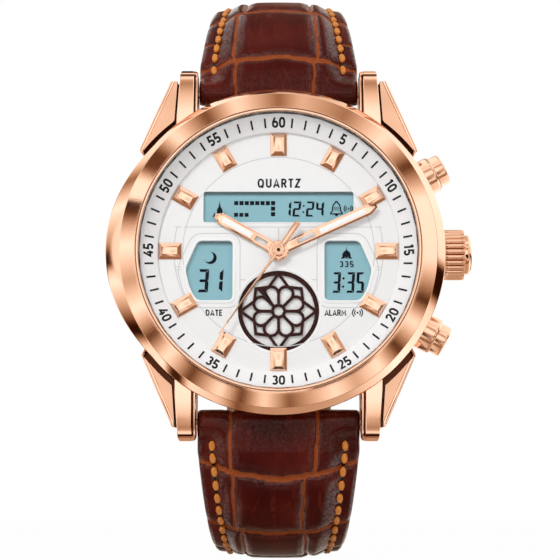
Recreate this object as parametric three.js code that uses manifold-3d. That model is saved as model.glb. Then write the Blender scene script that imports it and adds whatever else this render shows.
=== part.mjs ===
// A wrist watch with hands, three liquid crystal windows and prayer time alarms, on a padded leather strap.
// Lengths are in millimetres. The watch is modelled on its back with the dial up: x runs to 3 o'clock,
// y to 12 o'clock and z up from the outer face of the case back. The last lines stand it up, so that the
// dial faces -Y, 12 o'clock is +Z and the crown is +X. The strap is unbuckled and keeps the curl of a wrist.

import * as THREE from "three";
import { mergeVertices } from "three/addons/utils/BufferGeometryUtils.js";
import { ConvexGeometry } from "three/addons/geometries/ConvexGeometry.js";
import Module from "manifold-3d";

const wasm = await Module();
wasm.setup();

// Clearances
const seatGap = 0.05; // between pieces that are stacked or pressed together
const runningGap = 0.07; // radial, round a shaft that turns or slides in its bore
const looseGap = 0.3; // round leather and between pieces that only lie beside each other
const overrun = 1; // how far a cutting tool passes the surface that it cuts

// Facets of round pieces
const wideFacets = 40;
const smallFacets = 18;
const pinFacets = 12;
const springSides = 5;
const cornerSteps = 4;
const petalSteps = 8;
const rimSteps = 10;

// Stack of the case, from the outer face of the back up to the dial
const backThickness = 1.5;
const backProud = 0.5; // the back stands out of the case by this
const speakerThickness = 0.45;
const boardThickness = 0.45;
const movementThickness = 4.65;
const displayThickness = 0.6;
const dialThickness = 0.5;
const speakerBase = backThickness + seatGap;
const boardBase = speakerBase + speakerThickness + seatGap;
const movementBase = boardBase + boardThickness + seatGap;
const movementTop = movementBase + movementThickness;
const displayBase = movementTop + seatGap;
const displayTop = displayBase + displayThickness;
const dialBase = displayTop + seatGap;
const dialTop = dialBase + dialThickness;
const caseTop = dialTop;
const crownHeight = movementBase + movementThickness / 2; // axis of the crown and of both pushers

// Hands, each above the last, up to the underside of the crystal
const hourHandLift = 0.35;
const hourHandThickness = 0.18;
const minuteHandLift = 0.22;
const minuteHandThickness = 0.2;
const secondHandLift = 0.25;
const secondHandThickness = 0.15;
const arborTip = 0.15;
const glassClearance = 0.35;
const hourHandBase = dialTop + hourHandLift;
const minuteHandBase = hourHandBase + hourHandThickness + minuteHandLift;
const secondHandBase = minuteHandBase + minuteHandThickness + secondHandLift;
const secondHandTop = secondHandBase + secondHandThickness;
const arborTop = secondHandTop + arborTip;

// Crystal, chapter ring and bezel
const crystalRadius = 19.1;
const crystalThickness = 1.1;
const crystalBevel = 0.15;
const crystalGasketWidth = 0.25;
const crystalGasketShare = 0.5; // of the crystal's thickness
const chapterRingWidth = 2.65;
const chapterRingWall = 0.4; // height of its inner wall above the dial
const chapterRingRim = 0.35; // flat rim that carries the crystal
const bezelLedge = 0.4;
const bezelFaceWidth = 2.25;
const bezelChamferWidth = 1;
const bezelLedgeDrop = 0.4;
const bezelFaceDrop = 0.8;
const bezelChamferDrop = 1.3;
const bezelUnderBevel = 0.4;
const bezelRise = 0.2; // above the crystal
const bezelLipRadius = crystalRadius + seatGap;
const crystalGasketOuter = bezelLipRadius + crystalGasketWidth;
const bezelBore = crystalGasketOuter + seatGap;
const chapterRingOuter = bezelBore - seatGap;
const dialViewRadius = chapterRingOuter - chapterRingWidth;
const bezelInnerEdge = bezelLipRadius + bezelLedge;
const bezelFaceEdge = bezelInnerEdge + bezelFaceWidth;
const bezelRadius = bezelFaceEdge + bezelChamferWidth;
const ringBase = caseTop + seatGap;
const ringTop = arborTop + glassClearance;
const crystalBase = ringTop + seatGap;
const crystalTop = crystalBase + crystalThickness;
const crystalGasketTop = crystalBase + crystalThickness * crystalGasketShare;
const bezelTop = crystalTop + bezelRise;

// Case band
const bezelOverhang = 1;
const dialSeat = 0.5; // width of the dial that the chapter ring covers
const backShelf = 2.6; // ledge inside the case that the back is screwed to
const caseFootWall = 1;
const caseTopBevel = 0.4;
const caseFootBevel = 1.1;
const spigotWall = 0.5; // rim on the case that the bezel is pressed over
const spigotHeight = 1;
const spigotInset = 0.4; // wall of the bezel between its bore and the spigot's groove
const caseRadius = bezelRadius - bezelOverhang;
const dialRadius = dialViewRadius + dialSeat;
const caseBore = dialRadius + seatGap;
const backRecess = caseBore + backShelf;
const backRadius = backRecess - seatGap;
const caseFootRadius = backRecess + caseFootWall;
const caseBase = backProud;
const spigotInner = bezelBore + spigotInset + seatGap;
const spigotOuter = spigotInner + spigotWall;
const backGasketWidth = 0.25;
const backGasketHeight = 0.25;
const backGasketInner = caseBore + seatGap;
const backGasketOuter = backGasketInner + backGasketWidth;
const shelfBase = backThickness + seatGap / 2;

// Lugs, spring bars and the strap's ends
const lugGap = 22.2; // between the inner faces of a pair of lugs
const lugTipWidth = 2.35;
const lugRootWidth = 3.35;
const lugTipReach = 2.75; // beyond the spring bar
const lugTopDrop = 0.45; // of the lug's top below the top of the case
const lugFootRise = 0.4; // of the lug's underside above the foot of the case
const lugWall = 0.6; // wall of the case between the lugs
const lugHoleDepth = 1.3;
const wingOffset = 1.35; // how far the outer wing of a lug stands out of the case
const wingDrop = 1;
const springBarHeight = 3.6;
const springBarRadius = 0.8;
const springBarTipRadius = 0.45;
const springBarEndGap = 0.15;
const strapEndRadius = 2.4;
const strapEndGap = 0.45; // between the strap's rolled end and the case
const lugInner = lugGap / 2;
const wallReach = backRecess + lugWall;
const barReach = wallReach + strapEndGap + strapEndRadius;
const lugReach = barReach + lugTipReach;

// Dial windows
const upperWindowWidth = 20.5;
const upperWindowHeight = 4.1;
const upperWindowOffset = 5.9; // centre above the middle of the dial
const sideWindowWidth = 6.66;
const sideWindowHeight = 8;
const sideWindowReach = 9.6; // centre beside the middle of the dial
const sideWindowOffset = -2.85;
const windowCorner = 0.7;
const windowRim = 0.4;
const windowRimHeight = 0.12;
const displayMargin = 0.4;
const rosetteOffset = -8.35;
const rosetteRadius = 5.6;
const rosetteRingWidth = 0.55;
const rosetteThickness = 0.3;
const rosetteStroke = 0.36;
const rosetteHubRadius = 0.86; // middle of the small ring at the centre
const rosettePetals = 8;
const rosettePetalTipShare = 0.72; // of the rim's inner radius
const rosetteStarShare = 0.88;
const rosetteDiscLap = 0.15; // of the pearl disc under the edge of its window

// Hour markers
const markerCount = 12;
const markerLength = 3.2;
const markerWidth = 2.3;
const markerHeight = 0.45;
const markerFoot = 0.12; // upright part under the bevels
const markerBevel = 0.52;
const markerInset = 0.1; // from the chapter ring
const markerOuter = dialViewRadius - markerInset;
const markerReach = markerOuter - markerLength / 2;

// Hands in plan
const hourHandLength = 10.1;
const minuteHandLength = 15;
const secondHandLength = 14.2;
const hourHandWidth = 1.6;
const minuteHandWidth = 1.5;
const secondHandWidth = 0.42;
const secondTailLength = 4.75;
const secondTailWidth = 0.8;
const hubRadius = 1.45;
const secondHubRadius = 0.85;
const lumeGap = 0.04;
const lumeWidthShare = 0.55;
const lumeStartShare = 0.42;
const lumeEndShare = 0.9;
const openSlotStartShare = 0.19;
const openSlotEndShare = 0.37;
const handShoulderShare = 0.92;
const handTipWidthShare = 0.74;
const hourHandAngle = 299.6; // degrees clockwise from 12 o'clock
const minuteHandAngle = 65.4;
const secondHandAngle = 215;

// Arbors of the three hands
const arborRadius = 0.25;
const cannonWall = 0.28;
const pipeWall = 0.33;
const hourWheelRadius = 3;
const hourWheelThickness = 0.45;
const hourWheelRoom = 0.2;
const hourWheelRecess = 1.1;
const hourWheelTeeth = 20;
const hourWheelToothDepth = 0.22;
const cannonDepth = 1.35;
const arborDepth = 0.95;
const cannonBore = arborRadius + runningGap;
const cannonRadius = cannonBore + cannonWall;
const pipeBore = cannonRadius + runningGap;
const pipeRadius = pipeBore + pipeWall;
const wheelFloor = movementTop - hourWheelRecess;
const cannonBase = wheelFloor - cannonDepth;
const arborBase = cannonBase - arborDepth;

// Movement
const movementRingWall = 1.85;
const movementRingOuter = caseBore - seatGap;
const movementRingInner = movementRingOuter - movementRingWall;
const movementRadius = movementRingInner - seatGap;
const batteryRadius = 6.25;
const batteryThickness = 2;
const batteryStep = 0.25;
const batteryCapInset = 0.9;
const batteryWall = 0.45;
const batteryAngle = 210;
const batteryPocketRadius = batteryRadius + seatGap * 2;
const batteryReach = movementRadius - batteryPocketRadius - batteryWall;
const speakerRadius = 10;
const speakerCeramicRadius = 7.5;

// Case back screws
const screwCount = 4;
const screwHeadRadius = 0.8;
const screwHeadHeight = 0.65;
const screwShankRadius = 0.45;
const screwBite = 1.9; // length of thread in the case
const screwSink = 0.1;
const screwSlotWidth = 0.28;
const screwSlotDepth = 0.3;
const screwCircle = (caseBore + backRecess) / 2;

// Crown, its tube and its stem
const crownRadius = 3.55;
const crownKnurlLength = 2.65;
const crownFluteDepth = 0.32;
const crownFlutes = 26;
const crownFluteSteps = 3;
const crownChamfer = 0.35;
const crownBossRadius = 2.77;
const crownBossLength = 1.15;
const crownBossRound = 0.35;
const crownStandoff = 0.45; // from the bezel
const crownTubeRadius = 1.5;
const crownTubeEntry = 0.95; // how far the tube reaches into the crown
const crownTubeInset = 0.3; // of the tube's inner end from the bore of the case
const crownSkirtGap = 0.75; // room past the tube's end
const stemRadius = 0.6;
const stemGrip = 1.25; // length of the stem in the crown
const stemReach = 4.6; // of the stem into the movement
const grooveRadius = 0.35;
const grooveLength = 0.5;
const leverThickness = 0.36;
const leverWidth = 3;
const leverHeight = 2;
const leverRoom = 0.35;
const crownBase = bezelRadius + crownStandoff;
const crownTubeEnd = crownBase + crownTubeEntry;
const crownFloor = crownTubeEnd + crownSkirtGap;
const crownKnurlEnd = crownBase + crownKnurlLength;
const crownEnd = crownKnurlEnd + crownBossLength;
const stemStart = movementRadius - stemReach;
const leverCentre = stemStart + (movementRingInner - stemStart) / 2;

// Pushers
const pusherAngle = 28;
const pusherTravel = 0.9;
const sleeveRadius = 2.55;
const sleeveWall = 0.3;
const sleeveFloor = 0.6;
const sleeveNeckRadius = 1.3;
const sleeveSpare = 0.3; // cap to floor when the pusher is pressed
const spotFaceDepth = 0.5;
const capLap = 1.75; // of the cap inside its sleeve
const capStandout = 1.65;
const capWall = 0.43;
const capTopThickness = 1.2;
const capRound = 0.3;
const rodRadius = 0.6;
const rodClipRadius = 1;
const rodClipThickness = 0.35;
const rodTip = 0.65;
const springWireRadius = 0.15;
const springTurns = 5;
const springSteps = 8;
const spotFace = caseRadius - spotFaceDepth;
const sleeveBase = spotFace + seatGap;
const sleeveEnd = sleeveBase + sleeveFloor + pusherTravel + sleeveSpare + capLap;
const sleeveBore = sleeveRadius - sleeveWall;
const capRadius = sleeveBore - runningGap;
const capBase = sleeveEnd - capLap;
const capEnd = sleeveEnd + capStandout;
const capPocketRadius = capRadius - capWall;
const capPocketEnd = capEnd - capTopThickness;
const rodBore = rodRadius + runningGap;
const springRadius = (capPocketRadius + rodBore) / 2;

// Strap, along its length from the spring bar
const strapTailWidth = 18;
const strapThickness = 2.4; // past the padding
const padHeight = 3; // outer face above the strap's path, at its fullest
const padBase = 1.3; // inner face below the path near the case
const padRise = 2; // of the padded middle above the stitched edge
const flatRise = 0.3;
const padLength = 45; // length over which the padding thins out
const padRollLength = 4;
const rollRiseShare = 0.5; // of the padding's rise, where the strap rolls round its bar
const taperStart = 2.5;
const taperLength = 18;
const upperStrap = { length: 75, straight: 0, bendRadius: 16.5, startHeading: 4, endHeading: 180 };
const lowerStrap = { length: 115, straight: 5, bendRadius: 13.5, startHeading: 8, endHeading: 179.6 };
const strapTipLength = 9;
const strapTipWidth = 4;
const strapRingStep = 3.2;
const tongueHoleCount = 7;
const tongueHoleRadius = 0.9;
const tongueHoleSpacing = 6.5;
const firstTongueHole = 14; // from the strap's tip
const strapEndWidth = lugGap - looseGap * 2;

// Buckle and keepers
const buckleBarRadius = 0.7;
const buckleLoopRadius = 1.6;
const buckleThickness = 1.7;
const buckleArmWidth = 1.95;
const buckleLength = 11;
const buckleCrossWidth = 1.7;
const buckleArmGap = 0.25;
const buckleEarWall = 0.15;
const tongueWidth = 2;
const tongueSideGap = 0.3;
const tongueSlotRoom = 1.2;
const tongueWall = 0.55;
const tongueThickness = 0.8;
const tongueOverhang = 0.5;
const tongueRest = 0.1; // gap between the tongue and the cross bar
const keeperWidth = 4.5;
const keeperWall = 1.1;
const keeperSpacing = 0.3;
const keeperEndRoom = 4.5; // from the fixed keeper to the buckle's bar
const tailThickness = strapThickness;

// Materials
const roseGold = { color: 0xd9a07c, roughness: 0.22, metalness: 1 };
const steel = { color: 0xb8bcc2, roughness: 0.3, metalness: 1 };
const brass = { color: 0xc9a558, roughness: 0.35, metalness: 1 };
const whiteLacquer = { color: 0xf1f1f2, roughness: 0.4, metalness: 0 };
const displayGlass = { color: 0x86b8c3, roughness: 0.25, metalness: 0 };
const luminousPaint = { color: 0xfbfaf6, roughness: 0.6, metalness: 0 };
const brownEnamel = { color: 0x2a0d0b, roughness: 0.35, metalness: 0 };
const motherOfPearl = { color: 0xf0edf0, roughness: 0.3, metalness: 0 };
const blackPlastic = { color: 0x202124, roughness: 0.6, metalness: 0 };
const circuitGreen = { color: 0x1f6b3a, roughness: 0.5, metalness: 0 };
const rubber = { color: 0x161618, roughness: 0.85, metalness: 0 };
const crystalGlass = { color: 0xeef4f6, roughness: 0.03, metalness: 0, transparent: true, opacity: 0.25 };
const leather = { color: 0x5a1710, roughness: 0.4, metalness: 0 };

const radians = THREE.MathUtils.degToRad;
const quarterTurn = Math.PI / 2;
const fullTurn = Math.PI * 2;

// Solids

function solidOf(geometry) {
  const bare = new THREE.BufferGeometry();
  bare.setAttribute("position", geometry.getAttribute("position"));
  bare.setIndex(geometry.getIndex());
  const merged = mergeVertices(bare);
  const corners = merged.getIndex().array;
  const kept = [];
  for (let i = 0; i < corners.length; i += 3) {
    const [a, b, c] = [corners[i], corners[i + 1], corners[i + 2]];
    // a lathe leaves triangles without area where its outline meets the axis
    if (a !== b && b !== c && c !== a) {
      kept.push(a, b, c);
    }
  }
  const vertProperties = new Float32Array(merged.getAttribute("position").array);
  return new wasm.Manifold(new wasm.Mesh({ numProp: 3, vertProperties, triVerts: new Uint32Array(kept) }));
}

function geometryOf(solid) {
  const mesh = solid.getMesh();
  const geometry = new THREE.BufferGeometry();
  const positions = new Float32Array(mesh.vertProperties);
  geometry.setAttribute("position", new THREE.BufferAttribute(positions, mesh.numProp));
  geometry.setIndex(new THREE.BufferAttribute(new Uint32Array(mesh.triVerts), 1));
  geometry.computeVertexNormals();
  return geometry;
}

function part(name, solid, finish) {
  const mesh = new THREE.Mesh(geometryOf(solid), new THREE.MeshStandardMaterial(finish));
  mesh.name = name;
  return mesh;
}

// A solid of revolution about z, from an outline of [radius, height] points that runs counterclockwise
function turned(outline, facets) {
  const points = outline.map(([radius, height]) => new THREE.Vector2(radius, height));
  if (outline[0][0] > 0 || outline.at(-1)[0] > 0) {
    points.push(points[0].clone());
  }
  return solidOf(new THREE.LatheGeometry(points, facets).rotateX(quarterTurn));
}

function disc(radius, base, top, facets) {
  return turned([[0, base], [radius, base], [radius, top], [0, top]], facets);
}

function ring(inner, outer, base, top, facets) {
  return turned([[inner, base], [outer, base], [outer, top], [inner, top]], facets);
}

// The same pieces lying along x, on the axis of the crown
function alongX(solid) {
  return solid.rotate([0, 90, 0]).translate([0, 0, crownHeight]);
}

function block(from, to) {
  const size = to.map((value, i) => value - from[i]);
  const middle = to.map((value, i) => (value + from[i]) / 2);
  return solidOf(new THREE.BoxGeometry(...size).translate(...middle));
}

function plate(shape, base, top) {
  const settings = { depth: top - base, bevelEnabled: false, curveSegments: cornerSteps };
  return solidOf(new THREE.ExtrudeGeometry(shape, settings).translate(0, 0, base));
}

// A side view in the y-z plane, given thickness along x
function slab(shape, from, to) {
  const settings = { depth: to - from, bevelEnabled: false, curveSegments: cornerSteps };
  const geometry = new THREE.ExtrudeGeometry(shape, settings);
  return solidOf(geometry.rotateX(quarterTurn).rotateZ(quarterTurn).translate(from, 0, 0));
}

function polygon(points) {
  return new THREE.Shape(points.map(([x, y]) => new THREE.Vector2(x, y)));
}

// A polygon whose corners are rounded off by the given distance
function roundedPolygon(points, corner) {
  const shape = new THREE.Shape();
  points.forEach((point, i) => {
    const here = new THREE.Vector2(...point);
    const before = new THREE.Vector2(...points.at(i - 1)).sub(here);
    const after = new THREE.Vector2(...points[(i + 1) % points.length]).sub(here);
    const cut = Math.min(corner, before.length() / 2, after.length() / 2);
    const start = here.clone().add(before.setLength(cut));
    const end = here.clone().add(after.setLength(cut));
    if (i === 0) {
      shape.moveTo(start.x, start.y);
    } else {
      shape.lineTo(start.x, start.y);
    }
    shape.quadraticCurveTo(here.x, here.y, end.x, end.y);
  });
  shape.closePath();
  return shape;
}

// A closed skin through rings of points, capped at both ends
function lofted(rings) {
  const size = rings[0].length;
  const positions = rings.flat().flatMap((point) => point.toArray());
  const corners = [];
  for (let r = 0; r + 1 < rings.length; r += 1) {
    for (let i = 0; i < size; i += 1) {
      const next = (i + 1) % size;
      const [a, b, c, d] = [r * size + i, r * size + next, (r + 1) * size + next, (r + 1) * size + i];
      corners.push(a, b, c, a, c, d);
    }
  }
  const ends = [[rings[0], 0, true], [rings.at(-1), (rings.length - 1) * size, false]];
  for (const [ringPoints, start, flip] of ends) {
    const middle = new THREE.Vector3();
    ringPoints.forEach((point) => middle.add(point));
    middle.divideScalar(size);
    const hub = positions.length / 3;
    positions.push(...middle.toArray());
    for (let i = 0; i < size; i += 1) {
      const [a, b] = [start + i, start + ((i + 1) % size)];
      corners.push(...(flip ? [hub, b, a] : [hub, a, b]));
    }
  }
  const geometry = new THREE.BufferGeometry();
  geometry.setAttribute("position", new THREE.Float32BufferAttribute(positions, 3));
  geometry.setIndex(corners);
  return solidOf(geometry);
}

// Middle case with its lugs

function lugSide(topDrop) {
  const foot = caseBase + lugFootRise;
  const rise = caseTop - topDrop - foot;
  // shares of the reach from the middle of the watch, and of the rise above the lug's underside
  const sideShares = [
    [0, 0], [0.94, 0.02], [0.985, 0.14], [1, 0.3], [0.975, 0.52],
    [0.925, 0.76], [0.85, 0.93], [0.76, 1], [0, 1],
  ];
  return sideShares.map(([out, up]) => [out * lugReach, foot + up * rise]);
}

function lugPlan() {
  return [
    [lugInner, 0],
    [lugInner + lugRootWidth, caseRadius / 2],
    [lugInner + lugRootWidth, wallReach - lugTipReach],
    [lugInner + lugTipWidth, lugReach],
    [lugInner, lugReach],
  ];
}

function wingPlan() {
  const [shoulderAngle, flankAngle] = [radians(37), radians(29)];
  const wingRadius = caseRadius + wingOffset;
  return [
    [lugInner, 0],
    [caseRadius * Math.cos(flankAngle), caseRadius * Math.sin(flankAngle)],
    [wingRadius * Math.cos(shoulderAngle), wingRadius * Math.sin(shoulderAngle)],
    [lugInner + lugRootWidth, barReach],
    [lugInner, barReach],
  ];
}

function lug() {
  const bar = plate(polygon(lugPlan()), 0, caseTop).intersect(
    slab(polygon(lugSide(lugTopDrop)), 0, caseRadius),
  );
  const wing = plate(polygon(wingPlan()), 0, caseTop).intersect(
    slab(polygon(lugSide(lugTopDrop + wingDrop)), 0, bezelRadius),
  );
  return bar.add(wing);
}

function aroundCase(tool, place) {
  return tool.rotate([0, 0, place]);
}

function screwPlace(tool, index) {
  return tool.translate([screwCircle, 0, 0]).rotate([0, 0, ((index + 0.5) * 360) / screwCount]);
}

function middleCase() {
  const band = turned([
    [0, caseBase],
    [caseFootRadius, caseBase],
    [caseRadius, caseBase + caseFootBevel],
    [caseRadius, caseTop - caseTopBevel],
    [caseRadius - caseTopBevel, caseTop],
    [0, caseTop],
  ], wideFacets);
  const corner = lug();
  const across = corner.mirror([1, 0, 0]);
  let body = band.add(corner).add(across).add(corner.mirror([0, 1, 0])).add(across.mirror([0, 1, 0]));
  for (const side of [1, -1]) {
    const gap = block(
      [-lugInner, wallReach, caseBase - overrun],
      [lugInner, lugReach + overrun, caseTop + overrun],
    );
    body = body.subtract(side > 0 ? gap : gap.mirror([0, 1, 0]));
    const holeEnd = lugInner + lugHoleDepth;
    const barHole = disc(springBarTipRadius + seatGap, -holeEnd, holeEnd, pinFacets);
    body = body.subtract(barHole.rotate([0, 90, 0]).translate([0, side * barReach, springBarHeight]));
  }
  body = body.add(ring(spigotInner, spigotOuter, caseTop - caseTopBevel, caseTop + spigotHeight, wideFacets));
  body = body.subtract(turned([
    [0, caseBase - overrun],
    [backRecess, caseBase - overrun],
    [backRecess, shelfBase],
    [backGasketOuter + seatGap, shelfBase],
    [backGasketOuter + seatGap, shelfBase + backGasketHeight + seatGap],
    [caseBore, shelfBase + backGasketHeight + seatGap],
    [caseBore, caseTop + overrun],
    [0, caseTop + overrun],
  ], wideFacets));
  const tubeHole = disc(crownTubeRadius + seatGap, caseBore - overrun, caseRadius + overrun, smallFacets);
  body = body.subtract(alongX(tubeHole));
  for (const place of [pusherAngle, -pusherAngle]) {
    const neckHole = disc(sleeveNeckRadius + seatGap, caseBore - overrun, caseRadius, smallFacets);
    const face = disc(sleeveRadius + looseGap, spotFace, caseRadius + wingOffset + overrun, smallFacets);
    body = body.subtract(aroundCase(alongX(neckHole.add(face)), place));
  }
  const threadEnd = shelfBase + screwBite + looseGap;
  const tapped = disc(screwShankRadius + seatGap, shelfBase - overrun, threadEnd, pinFacets);
  for (let i = 0; i < screwCount; i += 1) {
    body = body.subtract(screwPlace(tapped, i));
  }
  return part("middle_case", body, roseGold);
}

// Case back

function caseBack() {
  const edge = backProud / 2;
  let body = turned([
    [0, 0],
    [backRadius - edge, 0],
    [backRadius, edge],
    [backRadius, backThickness],
    [0, backThickness],
  ], wideFacets);
  const counterbore = disc(screwHeadRadius + seatGap, -overrun, screwSink + screwHeadHeight, pinFacets);
  const shankHole = disc(screwShankRadius + seatGap, -overrun, backThickness + overrun, pinFacets);
  const hole = shankHole.add(counterbore);
  for (let i = 0; i < screwCount; i += 1) {
    body = body.subtract(screwPlace(hole, i));
  }
  return part("case_back", body, steel);
}

function caseBackGasket() {
  const base = backThickness + seatGap;
  const top = shelfBase + backGasketHeight;
  return part("case_back_gasket", ring(backGasketInner, backGasketOuter, base, top, wideFacets), rubber);
}

function caseBackScrew(index) {
  const headBase = screwSink;
  const shankBase = screwSink + screwHeadHeight - seatGap;
  const body = turned([
    [0, headBase],
    [screwHeadRadius, headBase],
    [screwHeadRadius, shankBase],
    [screwShankRadius, shankBase],
    [screwShankRadius, shelfBase + screwBite],
    [0, shelfBase + screwBite],
  ], pinFacets);
  const slot = block(
    [-screwHeadRadius - overrun, -screwSlotWidth / 2, headBase - overrun],
    [screwHeadRadius + overrun, screwSlotWidth / 2, headBase + screwSlotDepth],
  );
  const mesh = part(`case_back_screw_${index + 1}`, body.subtract(slot), steel);
  const place = ((index + 0.5) * fullTurn) / screwCount;
  mesh.position.set(screwCircle * Math.cos(place), screwCircle * Math.sin(place), 0);
  mesh.rotation.z = place;
  return mesh;
}

// Bezel, crystal and chapter ring

function bezel() {
  const grooveTop = caseTop + spigotHeight + seatGap;
  const body = turned([
    [bezelBore, ringBase],
    [spigotInner - seatGap, ringBase],
    [spigotInner - seatGap, grooveTop],
    [spigotOuter + seatGap, grooveTop],
    [spigotOuter + seatGap, ringBase],
    [bezelRadius - bezelUnderBevel, ringBase],
    [bezelRadius, ringBase + bezelUnderBevel],
    [bezelRadius, bezelTop - bezelFaceDrop - bezelChamferDrop],
    [bezelFaceEdge, bezelTop - bezelFaceDrop],
    [bezelInnerEdge, bezelTop],
    [bezelLipRadius, bezelTop - bezelLedgeDrop],
    [bezelLipRadius, crystalGasketTop + seatGap],
    [bezelBore, crystalGasketTop + seatGap],
  ], wideFacets);
  return part("bezel", body, roseGold);
}

function crystal() {
  const body = turned([
    [0, crystalBase],
    [crystalRadius, crystalBase],
    [crystalRadius, crystalTop - crystalBevel],
    [crystalRadius - crystalBevel, crystalTop],
    [0, crystalTop],
  ], wideFacets);
  return part("crystal", body, crystalGlass);
}

function crystalGasket() {
  const body = ring(bezelLipRadius, crystalGasketOuter, crystalBase, crystalGasketTop, wideFacets);
  return part("crystal_gasket", body, rubber);
}

function chapterRing() {
  const body = turned([
    [dialViewRadius, ringBase],
    [chapterRingOuter, ringBase],
    [chapterRingOuter, ringTop],
    [chapterRingOuter - chapterRingRim, ringTop],
    [dialViewRadius, ringBase + chapterRingWall],
  ], wideFacets);
  return part("chapter_ring", body, whiteLacquer);
}

// Dial, its windows and what lies in them

// shares of the half width and half height of the right side window, whose outer side comes to a blunt point
const sideWindowShares = [[-1, -1], [0.5, -1], [0.79, -0.61], [1, 0.05], [0.47, 1], [-1, 1]];

function sideWindow(grown) {
  const [halfWidth, halfHeight] = [sideWindowWidth / 2 + grown, sideWindowHeight / 2 + grown];
  return sideWindowShares.map(([x, y]) => [
    sideWindowReach + x * halfWidth,
    sideWindowOffset + y * halfHeight,
  ]);
}

function upperWindow(grown) {
  const [halfWidth, halfHeight] = [upperWindowWidth / 2 + grown, upperWindowHeight / 2 + grown];
  const corners = [[-1, -1], [1, -1], [1, 1], [-1, 1]];
  return corners.map(([x, y]) => [x * halfWidth, upperWindowOffset + y * halfHeight]);
}

function windowPrisms(grown, base, top) {
  const right = plate(roundedPolygon(sideWindow(grown), windowCorner + grown), base, top);
  const upper = plate(roundedPolygon(upperWindow(grown), windowCorner / 2 + grown), base, top);
  return [right, right.mirror([1, 0, 0]), upper];
}

function rosettePlace(solid) {
  return solid.translate([0, rosetteOffset, 0]);
}

function dial() {
  const rimTop = dialTop + windowRimHeight;
  const rimReach = markerReach - markerLength / 2 - seatGap * 2;
  let rims = rosettePlace(disc(rosetteRadius + windowRim, dialBase, rimTop, wideFacets));
  for (const rim of windowPrisms(windowRim, dialBase, rimTop)) {
    rims = rims.add(rim);
  }
  rims = rims.intersect(disc(rimReach, dialBase - overrun, rimTop + overrun, wideFacets));
  let body = disc(dialRadius, dialBase, dialTop, wideFacets).add(rims);
  for (const opening of windowPrisms(0, dialBase - overrun, rimTop + overrun)) {
    body = body.subtract(opening);
  }
  const round = disc(rosetteRadius + seatGap, dialBase - overrun, rimTop + overrun, wideFacets);
  const centre = disc(pipeRadius + runningGap, dialBase - overrun, dialTop + overrun, smallFacets);
  return part("dial", body.subtract(rosettePlace(round)).subtract(centre), whiteLacquer);
}

function hourMarker(index) {
  const [halfLength, halfWidth] = [markerLength / 2, markerWidth / 2];
  const points = [];
  for (const [x, y] of [[1, 1], [1, -1], [-1, 1], [-1, -1]]) {
    const [topX, topY] = [x * (halfWidth - markerBevel), y * (halfLength - markerBevel)];
    points.push(new THREE.Vector3(x * halfWidth, y * halfLength, 0));
    points.push(new THREE.Vector3(x * halfWidth, y * halfLength, markerFoot));
    points.push(new THREE.Vector3(topX, topY, markerHeight));
  }
  const name = `hour_marker_${String(index || markerCount).padStart(2, "0")}`;
  const mesh = part(name, solidOf(new ConvexGeometry(points)), roseGold);
  const place = (index * fullTurn) / markerCount;
  mesh.position.set(markerReach * Math.sin(place), markerReach * Math.cos(place), dialTop + seatGap);
  mesh.rotation.z = -place;
  return mesh;
}

function polar(radius, angle) {
  return new THREE.Vector2(radius * Math.cos(angle), radius * Math.sin(angle));
}

function arc(centre, radius, from, to, steps) {
  const points = [];
  for (let i = 0; i <= steps; i += 1) {
    points.push(polar(radius, from + ((to - from) * i) / steps).add(centre));
  }
  return points;
}

// Where the line through two points leaves a circle, on the side of the second point
function crossing(from, to, centre, radius) {
  const along = to.clone().sub(from).normalize();
  const back = from.clone().sub(centre);
  const middle = back.dot(along);
  const span = Math.sqrt(Math.max(middle ** 2 - back.lengthSq() + radius ** 2, 0));
  return [-middle - span, -middle + span].map((reach) => from.clone().addScaledVector(along, reach));
}

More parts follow.
